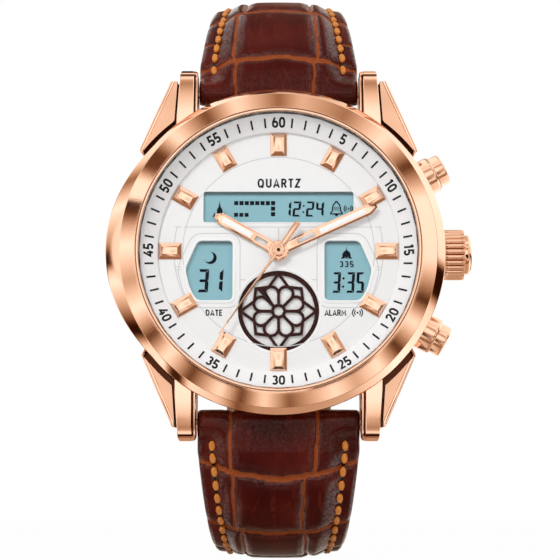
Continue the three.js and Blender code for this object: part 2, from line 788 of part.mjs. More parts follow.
// A thin plate, pierced by eight petals round a small ring, and by a star between the petals and the rim
function rosetteGrille() {
  const step = fullTurn / rosettePetals;
  const half = rosetteStroke / 2;
  const rimInner = rosetteRadius - rosetteRingWidth;
  const petalTip = rimInner * rosettePetalTipShare;
  const petalCentre = petalTip / (1 + Math.sin(step / 2));
  const petalRadius = petalTip - petalCentre;
  const starRadii = [rimInner + half, rimInner * rosetteStarShare];
  const origin = new THREE.Vector2();
  const turnedBy = (points, angle) => points.map((point) => point.clone().rotateAround(origin, angle));

  const hubOuter = rosetteHubRadius + half;
  const hubTurn = step / 2 - Math.asin(half / hubOuter);
  const hoopCentre = new THREE.Vector2(petalCentre, 0);
  const hoopTurn = quarterTurn + step / 2;
  const petalHole = [
    polar(hubOuter, hubTurn),
    polar(hubOuter, -hubTurn),
    ...arc(hoopCentre, petalRadius - half, -hoopTurn, hoopTurn, petalSteps),
  ];

  // one gem between two petals, and the star's outer side from a rim point to the next petal tip
  const holes = [arc(origin, rosetteHubRadius - half, 0, fullTurn - step, rosettePetals - 1)];
  const starSides = [];
  for (let i = 0; i < rosettePetals; i += 1) {
    const star = new THREE.Vector2(starRadii[i % 2], 0);
    const tip = polar(petalTip, step / 2);
    const across = tip.clone().sub(star).normalize().rotateAround(origin, quarterTurn).multiplyScalar(half);
    const gemTip = star.clone().setX(star.x - half / Math.sin(tip.clone().sub(star).angle()));
    const hoop = polar(petalCentre, step / 2);
    const [side] = crossing(gemTip, tip.clone().add(across), hoop, petalRadius + half);
    const root = petalCentre * Math.cos(step / 2) + Math.sqrt((petalRadius + half) ** 2 - petalRadius ** 2);
    const inner = new THREE.Vector2(root, 0);
    const bulge = side.clone().add(inner).divideScalar(2).sub(hoop).setLength(petalRadius + half).add(hoop);
    const mirrored = [side, bulge].map((point) => new THREE.Vector2(point.x, -point.y));
    holes.push(turnedBy([inner, mirrored[1], mirrored[0], gemTip, side, bulge], i * step));
    holes.push(turnedBy(petalHole, (i + 0.5) * step));
    starSides.push(star.clone().setX(star.x + half / Math.sin(tip.clone().sub(star).angle())));
  }

  // the four outer openings, each from one rim point of the star to the next
  const petalEdge = petalTip + half;
  for (let i = 0; i < rosettePetals; i += 2) {
    const start = Math.asin(half / rimInner) * 2;
    const rim = arc(origin, rimInner, start, step * 2 - start, rimSteps);
    const star = [polar(petalEdge, step * 1.5), polar(starSides[1].x, step), polar(petalEdge, step / 2)];
    holes.push(turnedBy([...rim, ...star], i * step));
  }
  const lastTurn = fullTurn * (1 - 1 / wideFacets);
  const shape = new THREE.Shape(arc(origin, rosetteRadius, 0, lastTurn, wideFacets - 1));
  shape.holes = holes.map((points) => new THREE.Path(points));
  const body = plate(shape, dialBase, dialBase + rosetteThickness);
  return part("rosette_grille", rosettePlace(body), brownEnamel);
}

function rosetteDisc() {
  const body = disc(rosetteRadius + rosetteDiscLap, displayBase, displayTop, smallFacets);
  return part("rosette_disc", rosettePlace(body), motherOfPearl);
}

function lcdPanel() {
  const halfWidth = sideWindowReach + sideWindowWidth / 2 + displayMargin;
  const low = sideWindowOffset - sideWindowHeight / 2 - displayMargin;
  const high = upperWindowOffset + upperWindowHeight / 2 + displayMargin;
  const sheet = block([-halfWidth, low, displayBase], [halfWidth, high, displayTop]);
  const outline = disc(movementRadius, displayBase, displayTop, wideFacets);
  const [cutBase, cutTop] = [displayBase - overrun, displayTop + overrun];
  const round = disc(rosetteRadius + rosetteDiscLap + seatGap, cutBase, cutTop, smallFacets);
  const centre = disc(pipeRadius + looseGap * 2, cutBase, cutTop, smallFacets);
  const body = sheet.intersect(outline).subtract(rosettePlace(round)).subtract(centre);
  return part("lcd_panel", body, displayGlass);
}

// Hands

function handOutline(length, width) {
  const shoulder = length * handShoulderShare;
  const tipHalf = (width * handTipWidthShare) / 2;
  return polygon([[-width / 2, 0], [width / 2, 0], [tipHalf, shoulder], [0, length], [-tipHalf, shoulder]]);
}

function handSlot(length, width, startShare, endShare) {
  const half = (width * lumeWidthShare) / 2;
  return polygon([
    [-half, length * startShare],
    [half, length * startShare],
    [half * handTipWidthShare, length * endShare],
    [-half * handTipWidthShare, length * endShare],
  ]);
}

function batonHand(length, width, base, thickness, bore) {
  const top = base + thickness;
  const [low, high] = [base - overrun, top + overrun];
  return plate(handOutline(length, width), base, top)
    .add(disc(hubRadius, base, top, smallFacets))
    .subtract(plate(handSlot(length, width, lumeStartShare, lumeEndShare), low, high))
    .subtract(plate(handSlot(length, width, openSlotStartShare, openSlotEndShare), low, high))
    .subtract(disc(bore, low, high, smallFacets));
}

function lume(length, width, base, thickness) {
  const inset = lumeGap / length;
  const outline = handSlot(length, width - 2 * lumeGap, lumeStartShare + inset, lumeEndShare - inset);
  return plate(outline, base, base + thickness);
}

function secondHand() {
  const top = secondHandTop;
  const tipHalf = secondHandWidth / 4;
  const needle = polygon([
    [-secondHandWidth / 2, 0],
    [secondHandWidth / 2, 0],
    [tipHalf, secondHandLength],
    [-tipHalf, secondHandLength],
  ]);
  const tail = polygon([
    [secondHandWidth / 2, 0],
    [-secondHandWidth / 2, 0],
    [-secondTailWidth / 2, -secondTailLength],
    [secondTailWidth / 2, -secondTailLength],
  ]);
  return plate(needle, secondHandBase, top)
    .add(plate(tail, secondHandBase, top))
    .add(disc(secondHubRadius, secondHandBase, top, smallFacets))
    .subtract(disc(arborRadius + seatGap / 2, secondHandBase - overrun, top + overrun, pinFacets));
}

function clockwise(mesh, degrees) {
  mesh.rotation.z = -radians(degrees);
  return mesh;
}

function hands() {
  const hour = [hourHandLength, hourHandWidth, hourHandBase, hourHandThickness];
  const minute = [minuteHandLength, minuteHandWidth, minuteHandBase, minuteHandThickness];
  const pressed = seatGap / 2;
  return [
    clockwise(part("hour_hand", batonHand(...hour, pipeRadius + pressed), roseGold), hourHandAngle),
    clockwise(part("hour_hand_lume", lume(...hour), luminousPaint), hourHandAngle),
    clockwise(part("minute_hand", batonHand(...minute, cannonRadius + pressed), roseGold), minuteHandAngle),
    clockwise(part("minute_hand_lume", lume(...minute), luminousPaint), minuteHandAngle),
    clockwise(part("second_hand", secondHand(), roseGold), secondHandAngle),
  ];
}

// Arbors, movement and what lies under it

function gearOutline(radius, toothDepth, teeth) {
  const points = [];
  for (let i = 0; i < teeth * 4; i += 1) {
    const reach = i % 4 < 2 ? radius : radius - toothDepth;
    points.push(polar(reach, (i * fullTurn) / (teeth * 4)));
  }
  return new THREE.Shape(points);
}

function hourWheel() {
  const base = wheelFloor + hourWheelRoom;
  const top = base + hourWheelThickness;
  const gear = plate(gearOutline(hourWheelRadius, hourWheelToothDepth, hourWheelTeeth), base, top);
  const pipe = disc(pipeRadius, base, hourHandBase + hourHandThickness, smallFacets);
  const bore = disc(pipeBore, base - overrun, hourHandBase + hourHandThickness + overrun, smallFacets);
  return part("hour_wheel", gear.add(pipe).subtract(bore), brass);
}

function cannonPinion() {
  const top = minuteHandBase + minuteHandThickness + seatGap;
  return part("cannon_pinion", ring(cannonBore, cannonRadius, cannonBase, top, smallFacets), steel);
}

function secondArbor() {
  return part("second_arbor", disc(arborRadius, arborBase, arborTop, pinFacets), steel);
}

function batteryPlace(solid) {
  return solid.translate([batteryReach, 0, 0]).rotate([0, 0, batteryAngle]);
}

function movementBlock() {
  const pocketTop = boardBase + batteryThickness + seatGap;
  const leverSlot = block(
    [
      leverCentre - leverThickness / 2 - leverRoom,
      -leverWidth / 2 - leverRoom,
      crownHeight - leverHeight / 2 - leverRoom,
    ],
    [movementRadius + overrun, leverWidth / 2 + leverRoom, crownHeight + leverHeight / 2 + leverRoom],
  );
  const stemHole = disc(stemRadius + runningGap, stemStart - looseGap, movementRadius + overrun, pinFacets);
  const body = disc(movementRadius, movementBase, movementTop, wideFacets)
    .subtract(disc(hourWheelRadius + looseGap, wheelFloor, movementTop + overrun, smallFacets))
    .subtract(disc(cannonRadius + runningGap, cannonBase - seatGap, wheelFloor + overrun, smallFacets))
    .subtract(disc(arborRadius + runningGap, arborBase - seatGap, cannonBase, pinFacets))
    .subtract(batteryPlace(disc(batteryPocketRadius, movementBase - overrun, pocketTop, smallFacets)))
    .subtract(alongX(stemHole))
    .subtract(leverSlot);
  return part("movement_block", body, blackPlastic);
}

function movementRing() {
  const body = turned([
    [movementRingInner, speakerBase],
    [movementRingOuter, speakerBase],
    [movementRingOuter, displayTop],
    [movementRingInner, displayTop],
  ], wideFacets).subtract(
    alongX(disc(stemRadius + looseGap, movementRingInner - overrun, movementRingOuter + overrun, pinFacets)),
  );
  const rodHole = alongX(
    disc(rodClipRadius + seatGap * 2, movementRingInner - overrun, movementRingOuter + overrun, pinFacets),
  );
  const holed = body.subtract(aroundCase(rodHole, pusherAngle)).subtract(aroundCase(rodHole, -pusherAngle));
  return part("movement_ring", holed, blackPlastic);
}

function circuitBoard() {
  const top = boardBase + boardThickness;
  const body = disc(movementRadius, boardBase, top, wideFacets)
    .subtract(batteryPlace(disc(batteryPocketRadius, boardBase - overrun, top + overrun, smallFacets)));
  return part("circuit_board", body, circuitGreen);
}

function battery() {
  const top = boardBase + batteryThickness;
  const body = turned([
    [0, boardBase],
    [batteryRadius, boardBase],
    [batteryRadius, top - batteryStep],
    [batteryRadius - batteryCapInset, top - batteryStep],
    [batteryRadius - batteryCapInset, top],
    [0, top],
  ], smallFacets);
  return part("battery", batteryPlace(body), steel);
}

function speaker() {
  const middle = speakerBase + speakerThickness / 2;
  const body = turned([
    [0, speakerBase],
    [speakerRadius, speakerBase],
    [speakerRadius, middle],
    [speakerCeramicRadius, middle],
    [speakerCeramicRadius, speakerBase + speakerThickness],
    [0, speakerBase + speakerThickness],
  ], smallFacets);
  return part("speaker", body, brass);
}

// Crown

function knurledOutline() {
  const shape = [];
  const points = crownFlutes * crownFluteSteps;
  for (let i = 0; i < points; i += 1) {
    const angle = (i * fullTurn) / points;
    const ridge = Math.abs(Math.sin((crownFlutes * angle) / 2)) ** 0.6;
    shape.push(polar(crownRadius - crownFluteDepth * (1 - ridge), angle));
  }
  return new THREE.Shape(shape);
}

function crown() {
  const barrel = turned([
    [0, crownBase],
    [crownRadius - crownChamfer, crownBase],
    [crownRadius, crownBase + crownChamfer],
    [crownRadius, crownKnurlEnd - crownChamfer],
    [crownRadius - crownChamfer, crownKnurlEnd],
    [0, crownKnurlEnd],
  ], smallFacets);
  const boss = turned([
    [0, crownKnurlEnd - crownChamfer],
    [crownBossRadius, crownKnurlEnd - crownChamfer],
    [crownBossRadius, crownEnd - crownBossRound],
    [crownBossRadius - crownBossRound, crownEnd],
    [0, crownEnd],
  ], smallFacets);
  const body = plate(knurledOutline(), crownBase, crownKnurlEnd)
    .intersect(barrel)
    .add(boss)
    .subtract(disc(crownTubeRadius + looseGap, crownBase - overrun, crownFloor, smallFacets))
    .subtract(disc(stemRadius + seatGap, crownFloor - overrun, crownFloor + stemGrip, pinFacets));
  return part("crown", alongX(body), roseGold);
}

function crownTube() {
  const base = caseBore + crownTubeInset;
  const body = ring(stemRadius + runningGap, crownTubeRadius, base, crownTubeEnd, smallFacets);
  return part("crown_tube", alongX(body), steel);
}

function crownStem() {
  const end = crownFloor + stemGrip - seatGap;
  const body = turned([
    [0, stemStart],
    [stemRadius, stemStart],
    [stemRadius, leverCentre - grooveLength / 2],
    [grooveRadius, leverCentre - grooveLength / 2],
    [grooveRadius, leverCentre + grooveLength / 2],
    [stemRadius, leverCentre + grooveLength / 2],
    [stemRadius, end],
    [0, end],
  ], pinFacets);
  return part("crown_stem", alongX(body), steel);
}

function settingLever() {
  const [halfWidth, halfHeight, half] = [leverWidth / 2, leverHeight / 2, leverThickness / 2];
  const slot = grooveRadius + runningGap;
  const fork = block(
    [leverCentre - half, -halfWidth, crownHeight - halfHeight],
    [leverCentre + half, halfWidth, crownHeight + halfHeight],
  ).subtract(block(
    [leverCentre - half - overrun, -slot, crownHeight - halfHeight - overrun],
    [leverCentre + half + overrun, slot, crownHeight + slot],
  ));
  return part("setting_lever", fork, steel);
}

// Pushers

function pusherTube(name) {
  const body = turned([
    [rodBore, caseBore + seatGap],
    [sleeveNeckRadius, caseBore + seatGap],
    [sleeveNeckRadius, sleeveBase],
    [sleeveRadius, sleeveBase],
    [sleeveRadius, sleeveEnd],
    [sleeveBore, sleeveEnd],
    [sleeveBore, sleeveBase + sleeveFloor],
    [rodBore, sleeveBase + sleeveFloor],
  ], smallFacets);
  return part(name, alongX(body), roseGold);
}

function pusherCap(name) {
  const clipEnd = caseBore;
  const body = turned([
    [0, clipEnd - rodClipThickness - rodTip],
    [rodRadius, clipEnd - rodClipThickness - rodTip],
    [rodRadius, clipEnd - rodClipThickness],
    [rodClipRadius, clipEnd - rodClipThickness],
    [rodClipRadius, clipEnd],
    [rodRadius, clipEnd],
    [rodRadius, capPocketEnd],
    [capPocketRadius, capPocketEnd],
    [capPocketRadius, capBase],
    [capRadius, capBase],
    [capRadius, capEnd - capRound],
    [capRadius - capRound, capEnd],
    [0, capEnd],
  ], smallFacets);
  return part(name, alongX(body), roseGold);
}

function pusherSpring(name) {
  const start = sleeveBase + sleeveFloor + seatGap + springWireRadius;
  const end = capPocketEnd - seatGap - springWireRadius;
  const rings = [];
  for (let i = 0; i <= springTurns * springSteps; i += 1) {
    const angle = (i * fullTurn) / springSteps;
    const height = start + ((end - start) * i) / (springTurns * springSteps);
    const section = [];
    for (let side = 0; side < springSides; side += 1) {
      const around = (side * fullTurn) / springSides;
      const reach = springRadius + springWireRadius * Math.cos(around);
      const flat = polar(reach, angle);
      section.push(new THREE.Vector3(flat.x, flat.y, height - springWireRadius * Math.sin(around)));
    }
    rings.push(section);
  }
  return part(name, alongX(lofted(rings)), steel);
}

function pusher(level, turn) {
  const group = new THREE.Group();
  group.add(
    pusherCap(`pusher_${level}_cap`),
    pusherTube(`pusher_${level}_tube`),
    pusherSpring(`pusher_${level}_spring`),
  );
  group.rotation.z = radians(turn);
  return group;
}

// Spring bars

function springBar(name, side) {
  const end = lugInner + lugHoleDepth - springBarEndGap;
  const shoulder = lugInner - springBarEndGap;
  const body = turned([
    [0, -end],
    [springBarTipRadius, -end],
    [springBarTipRadius, -shoulder],
    [springBarRadius, -shoulder],
    [springBarRadius, shoulder],
    [springBarTipRadius, shoulder],
    [springBarTipRadius, end],
    [0, end],
  ], pinFacets).rotate([0, 90, 0]);
  const mesh = part(name, body, steel);
  mesh.position.set(0, side * barReach, springBarHeight);
  return mesh;
}

// Strap

function bendLength(strap) {
  return strap.bendRadius * (quarterTurn - radians(strap.startHeading));
}

// Radius of the strap's long curve, which follows the tighter bend beside the case
function curveRadius(strap) {
  return (strap.length - strap.straight - bendLength(strap)) / (radians(strap.endHeading) - quarterTurn);
}

// A point of the strap's path, seen from the side: out from the case, up, and how far it heads down
function strapPoint(strap, distance) {
  const start = radians(strap.startHeading);
  const bend = bendLength(strap);
  const curve = curveRadius(strap);
  const onBend = THREE.MathUtils.clamp(distance - strap.straight, 0, bend);
  const onCurve = Math.max(distance - strap.straight - bend, 0);
  const onStraight = Math.min(distance, strap.straight);
  const bendHeading = start + onBend / strap.bendRadius;
  const heading = bendHeading + onCurve / curve;
  const out = barReach
    + onStraight * Math.cos(start)
    + strap.bendRadius * (Math.sin(bendHeading) - Math.sin(start))
    + curve * (Math.sin(heading) - Math.sin(bendHeading));
  const down = onStraight * Math.sin(start)
    + strap.bendRadius * (Math.cos(start) - Math.cos(bendHeading))
    + curve * (Math.cos(bendHeading) - Math.cos(heading));
  return { out, up: springBarHeight - down, heading };
}

function eased(value, start, length) {
  return THREE.MathUtils.smoothstep(value, start, start + length);
}

// Shares of the strap's half width, from one edge of the outer face to the other
const sectionShares = [-1, -0.955, -0.86, -0.7, -0.4, 0, 0.4, 0.7, 0.86, 0.955, 1];

function strapSection(distance, halfWidth) {
  const thin = eased(distance, padRollLength, padLength - padRollLength);
  const roll = THREE.MathUtils.lerp(strapEndRadius, padHeight, eased(distance, 0, padRollLength));
  const outer = THREE.MathUtils.lerp(roll, strapThickness / 2, thin);
  const inner = THREE.MathUtils.lerp(padBase, strapThickness / 2, thin);
  const grown = THREE.MathUtils.lerp(rollRiseShare, 1, eased(distance, 0, padRollLength));
  const rise = THREE.MathUtils.lerp(padRise, flatRise, thin) * grown;
  const points = sectionShares.map((share) => {
    const crown = Math.sqrt(Math.max(1 - share ** 4, 0));
    return [share * halfWidth, outer - rise * (1 - crown)];
  });
  const innerEdge = sectionShares.at(-2) * halfWidth;
  points.push([halfWidth, flatRise - inner], [innerEdge, -inner]);
  points.push([-innerEdge, -inner], [-halfWidth, flatRise - inner]);
  return points;
}

function strapHalfWidth(strap, distance, pointed) {
  const taper = eased(distance, taperStart, taperLength);
  const half = THREE.MathUtils.lerp(strapEndWidth, strapTailWidth, taper) / 2;
  if (!pointed) {
    return half;
  }
  const past = Math.max(distance - (strap.length - strapTipLength), 0) / strapTipLength;
  return THREE.MathUtils.lerp(strapTipWidth / 2, half, Math.sqrt(Math.max(1 - past ** 2.4, 0)));
}

function strapBody(strap, pointed) {
  const rings = [];
  const steps = Math.round(strap.length / strapRingStep);
  for (let i = 0; i <= steps; i += 1) {
    const distance = (strap.length * i) / steps;
    const { out, up, heading } = strapPoint(strap, distance);
    const section = strapSection(distance, strapHalfWidth(strap, distance, pointed));
    rings.push(section.map(([x, n]) => new THREE.Vector3(
      x,
      out + n * Math.sin(heading),
      up + n * Math.cos(heading),
    )));
  }
  return lofted(rings);
}

// A tool or piece modelled with its length along y and its outer face up, carried to a place on the strap
function onStrap(strap, distance, solid) {
  const { out, up, heading } = strapPoint(strap, distance);
  return solid.rotate([-THREE.MathUtils.radToDeg(heading), 0, 0]).translate([0, out, up]);
}

function acrossBar(radius, halfLength, facets) {
  return disc(radius, -halfLength, halfLength, facets).rotate([0, 90, 0]);
}

function rolledEnd(body) {
  const place = [0, barReach, springBarHeight];
  const roll = acrossBar(strapEndRadius, strapEndWidth / 2, smallFacets);
  const bore = acrossBar(springBarRadius + runningGap, strapEndWidth / 2 + overrun, smallFacets);
  return body.add(roll.translate(place)).subtract(bore.translate(place));
}

function strapUpper() {
  const slotHalf = tongueWidth / 2 + tongueSideGap;
  const slot = block(
    [-slotHalf, -buckleLoopRadius - tongueSlotRoom, -strapThickness],
    [slotHalf, buckleLoopRadius + overrun, strapThickness],
  );
  const loop = acrossBar(buckleLoopRadius, strapTailWidth / 2, smallFacets);
  const bore = acrossBar(buckleBarRadius + runningGap, strapTailWidth / 2 + overrun, pinFacets);
  const end = upperStrap.length;
  const body = rolledEnd(strapBody(upperStrap, false))
    .add(onStrap(upperStrap, end, loop))
    .subtract(onStrap(upperStrap, end, bore))
    .subtract(onStrap(upperStrap, end, slot));
  return part("strap_upper", body, leather);
}

function strapLower() {
  let body = rolledEnd(strapBody(lowerStrap, true));
  for (let i = 0; i < tongueHoleCount; i += 1) {
    const place = lowerStrap.length - firstTongueHole - i * tongueHoleSpacing;
    const hole = disc(tongueHoleRadius, -strapThickness, strapThickness, pinFacets);
    body = body.subtract(onStrap(lowerStrap, place, hole));
  }
  const mesh = part("strap_lower", body, leather);
  mesh.rotation.z = Math.PI;
  return mesh;
}

// Keepers and buckle, each modelled on a straight strap and carried to its place on the curve

function keeper(name, centre) {
  const half = strapTailWidth / 2 + looseGap;
  const inner = -strapThickness / 2 - looseGap;
  const outer = strapThickness / 2 + tailThickness + looseGap * 2;
  const around = (grown) => roundedPolygon(
    [
      [-half - grown, inner - grown],
      [half + grown, inner - grown],
      [half + grown, outer + grown],
      [-half - grown, outer + grown],
    ],
    keeperWall + grown / 2,
  );
  const body = plate(around(keeperWall), -keeperWidth / 2, keeperWidth / 2)
    .subtract(plate(around(0), -keeperWidth / 2 - overrun, keeperWidth / 2 + overrun))
    .rotate([90, 0, 0]);
  return part(name, onStrap(upperStrap, centre, body), leather);
}

function buckleFrame() {
  const inner = strapTailWidth / 2 + buckleArmGap;
  const outer = inner + buckleArmWidth;
  const ear = buckleBarRadius + seatGap + buckleThickness / 2 + buckleEarWall;
  const half = buckleThickness / 2;
  const outline = roundedPolygon(
    [[-outer, 0], [outer, 0], [outer, buckleLength], [-outer, buckleLength]],
    buckleArmWidth,
  );
  const window = block(
    [-inner, -overrun, -half - overrun],
    [inner, buckleLength - buckleCrossWidth, half + overrun],
  );
  const root = block([-outer, 0, -half], [outer, buckleLength / 2, half]);
  const body = plate(outline, -half, half)
    .add(root)
    .add(acrossBar(ear, outer, smallFacets))
    .subtract(window)
    .subtract(block([-inner, -ear - overrun, -ear - overrun], [inner, ear + overrun, ear + overrun]))
    .subtract(acrossBar(buckleBarRadius + seatGap, outer + overrun, pinFacets));
  return part("buckle_frame", onStrap(upperStrap, upperStrap.length, body), roseGold);
}

function buckleBar() {
  const half = strapTailWidth / 2 + buckleArmGap + buckleArmWidth - seatGap;
  const body = acrossBar(buckleBarRadius, half, pinFacets);
  return part("buckle_bar", onStrap(upperStrap, upperStrap.length, body), steel);
}

function buckleTongue() {
  const eye = buckleBarRadius + runningGap + tongueWall;
  const rest = buckleThickness / 2 + tongueRest;
  const reach = buckleLength + tongueOverhang;
  const side = polygon([
    [0, eye - tongueThickness],
    [buckleLength - buckleCrossWidth * 2, rest],
    [reach, rest],
    [reach, rest + tongueThickness / 2],
    [buckleLength - buckleCrossWidth * 2, rest + tongueThickness],
    [0, eye],
  ]);
  const body = slab(side, -tongueWidth / 2, tongueWidth / 2)
    .add(acrossBar(eye, tongueWidth / 2, smallFacets))
    .subtract(acrossBar(buckleBarRadius + runningGap, tongueWidth, pinFacets));
  return part("buckle_tongue", onStrap(upperStrap, upperStrap.length, body), roseGold);
}

// The whole watch

// the keepers' inner walls lie on a tighter curve than the strap's path, and set how near the two can be
const keeperCurve = curveRadius(upperStrap);
const keeperDepth = strapThickness / 2 + looseGap + keeperWall;
const keeperTurn = 2 * Math.atan((keeperWidth + keeperSpacing) / 2 / (keeperCurve - keeperDepth));
const fixedKeeperPlace = upperStrap.length - keeperEndRoom - keeperWidth / 2;
const freeKeeperPlace = fixedKeeperPlace - keeperCurve * keeperTurn;

const watch = new THREE.Group();
watch.add(middleCase(), caseBack(), caseBackGasket());
for (let i = 0; i < screwCount; i += 1) {
  watch.add(caseBackScrew(i));
}
watch.add(bezel(), crystal(), crystalGasket(), chapterRing(), dial());
for (let i = 0; i < markerCount; i += 1) {
  watch.add(hourMarker(i));
}
watch.add(rosetteGrille(), rosetteDisc(), lcdPanel(), ...hands());
watch.add(hourWheel(), cannonPinion(), secondArbor());
watch.add(movementBlock(), movementRing(), circuitBoard(), battery(), speaker());
watch.add(crown(), crownTube(), crownStem(), settingLever());
watch.add(pusher("upper", pusherAngle), pusher("lower", -pusherAngle));
watch.add(springBar("spring_bar_upper", 1), springBar("spring_bar_lower", -1));
watch.add(strapUpper(), strapLower());
watch.add(keeper("keeper_fixed", fixedKeeperPlace), keeper("keeper_free", freeKeeperPlace));
watch.add(buckleFrame(), buckleBar(), buckleTongue());
watch.rotation.x = quarterTurn;

const model = new THREE.Group();
model.add(watch);

export default model;
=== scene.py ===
import math

import bmesh
import bpy
import numpy as np
from mathutils import Matrix, Vector
from mathutils.geometry import tessellate_polygon


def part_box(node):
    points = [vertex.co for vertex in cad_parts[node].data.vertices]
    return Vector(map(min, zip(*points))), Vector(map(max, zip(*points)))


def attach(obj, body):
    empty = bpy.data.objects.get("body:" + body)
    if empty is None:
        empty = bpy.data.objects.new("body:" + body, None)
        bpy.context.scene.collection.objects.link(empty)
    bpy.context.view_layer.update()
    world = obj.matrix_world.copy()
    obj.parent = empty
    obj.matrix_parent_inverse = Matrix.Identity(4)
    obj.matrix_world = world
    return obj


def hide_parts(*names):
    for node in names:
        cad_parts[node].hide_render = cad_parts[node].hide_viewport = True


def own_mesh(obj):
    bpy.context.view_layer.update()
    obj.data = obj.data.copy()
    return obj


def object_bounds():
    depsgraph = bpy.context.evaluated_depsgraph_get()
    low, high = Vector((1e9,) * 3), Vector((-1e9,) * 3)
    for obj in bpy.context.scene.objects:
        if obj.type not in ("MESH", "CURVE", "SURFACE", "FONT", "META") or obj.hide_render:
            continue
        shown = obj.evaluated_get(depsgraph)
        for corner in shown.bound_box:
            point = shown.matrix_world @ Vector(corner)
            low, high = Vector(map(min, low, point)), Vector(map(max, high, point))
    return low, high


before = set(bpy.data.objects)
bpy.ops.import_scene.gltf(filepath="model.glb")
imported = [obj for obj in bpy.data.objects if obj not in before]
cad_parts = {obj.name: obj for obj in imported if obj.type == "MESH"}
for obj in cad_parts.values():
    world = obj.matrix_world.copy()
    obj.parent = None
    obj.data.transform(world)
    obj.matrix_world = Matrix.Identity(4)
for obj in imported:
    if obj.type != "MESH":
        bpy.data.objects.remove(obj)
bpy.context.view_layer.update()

mm = 0.001
turn = math.tau
print("frame loaded")

# Places on the watch are given as x towards 3 o'clock, y towards 12 o'clock and h above the case back,
# in millimetres. The dial faces -Y, so h runs along -Y.
dialToRow = Matrix(((mm, 0, 0, 0), (0, 0, -mm, 0), (0, mm, 0, 0), (0, 0, 0, 1)))


def nodeHeights(node):
    low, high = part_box(node)
    return -high.y / mm, -low.y / mm


def clockPlace(radius, minutes):
    angle = minutes * turn / 60
    return (radius * math.sin(angle), radius * math.cos(angle))


def smoothStep(value, start, end):
    share = np.clip((value - start) / (end - start), 0, 1)
    return share * share * (3 - 2 * share)


def mix(a, b, share):
    return a + (b - a) * share


# Outlines

def arc(centre, radius, start, end, steps):
    return [(centre[0] + radius * math.cos(mix(start, end, i / steps)),
             centre[1] + radius * math.sin(mix(start, end, i / steps))) for i in range(steps + 1)]


def circle(radius, steps=128, centre=(0, 0)):
    return arc(centre, radius, 0, turn * (1 - 1 / steps), steps - 1)


def softened(points, radius, steps=4, closed=True):
    # rounds the corners of an outline; a point may carry its own radius as a third number
    rounded = []
    for i, point in enumerate(points):
        here = Vector(point[:2])
        if not closed and i in (0, len(points) - 1):
            rounded.append(tuple(here))
            continue
        before = Vector(points[i - 1][:2]) - here
        after = Vector(points[(i + 1) % len(points)][:2]) - here
        reach = point[2] if len(point) > 2 else radius
        reach = min(reach, before.length * 0.48, after.length * 0.48)  # two roundings share a side
        start, end = here + before.normalized() * reach, here + after.normalized() * reach
        for k in range(steps + 1):
            t = k / steps
            rounded.append(tuple(start * (1 - t) ** 2 + here * 2 * t * (1 - t) + end * t ** 2))
    return rounded


def insetLoop(loop, distance):
    moved = []
    for i, point in enumerate(loop):
        here, before, after = Vector(point), Vector(loop[i - 1]), Vector(loop[(i + 1) % len(loop)])
        a, b = (here - before).normalized(), (after - here).normalized()
        sideA, sideB = Vector((-a.y, a.x)), Vector((-b.y, b.x))
        moved.append(tuple(here + (sideA + sideB) * distance / max(1 + sideA.dot(sideB), 0.35)))
    return moved


def counterClockwise(loop):
    area = sum(a[0] * b[1] - b[0] * a[1] for a, b in zip(loop, loop[1:] + loop[:1]))
    return loop if area > 0 else loop[::-1]


# Meshes

class Shape:
    # points and faces in watch millimetres, gathered before they become one piece; a mark has one value
    # per point, which the piece's finish reads by the mark's name
    def __init__(self):
        self.points, self.faces, self.marks = [], [], {}

    def add(self, points, faces, **marks):
        start = len(self.points)
        self.points.extend(tuple(p) for p in points)
        self.faces.extend([i + start for i in face] for face in faces)
        for mark in {**self.marks, **marks}:
            blank = [0] * (len(self.points) - start)
            self.marks.setdefault(mark, [0] * start).extend(marks.get(mark, blank))
        return self

    def merge(self, other, place=None):
        points = other.points if place is None else [place @ Vector(p) for p in other.points]
        return self.add(points, other.faces, **other.marks)


def gridFaces(rows, count, looped=False, ringed=True, capped=False):
    # quads between rows of points: looped joins the last row to the first, ringed closes each row on itself
    faces = []
    for r in range(rows if looped else rows - 1):
        here, there = r * count, (r + 1) % rows * count
        for i in range(count if ringed else count - 1):
            k = (i + 1) % count
            faces.append([here + i, here + k, there + k, there + i])
    if capped:
        faces += [list(range(count)), list(range((rows - 1) * count, rows * count))]
    return faces


def lathe(profile, steps=192, height=None, toAxis=False):
    # turns a profile of (radius, along) about the dial's axis, or about a line along x at a height;
    # a profile toAxis starts and ends on its axis
    points = []
    for i in range(steps):
        c, s = math.cos(turn * i / steps), math.sin(turn * i / steps)
        for radius, along in profile:
            upright = (radius * c, radius * s, along)
            points.append(upright if height is None else (along, radius * c, radius * s + height))
    return Shape().add(points, gridFaces(steps, len(profile), looped=True, ringed=not toAxis))


def plate(outer, holes, outerLevels, holeLevels=()):
    # a plate with holes; levels are (inset, height) pairs from the underside to the top
    shape = Shape()
    loops = [(counterClockwise(outer), outerLevels)]
    loops += [(counterClockwise(hole)[::-1], holeLevels) for hole in holes]
    ends = [[], []]
    for loop, levels in loops:
        points = [(x, y, height) for inset, height in levels for x, y in insetLoop(loop, inset)]
        start, n = len(shape.points), len(loop)
        shape.add(points, gridFaces(len(levels), n))
        ends[0].append(list(range(start, start + n)))
        ends[1].append(list(range(start + len(points) - n, start + len(points))))
    for end in ends:
        order = [i for loop in end for i in loop]
        flat = [[Vector((*shape.points[i][:2], 0)) for i in loop] for loop in end]
        shape.faces.extend([order[i] for i in triangle] for triangle in tessellate_polygon(flat))
    return shape


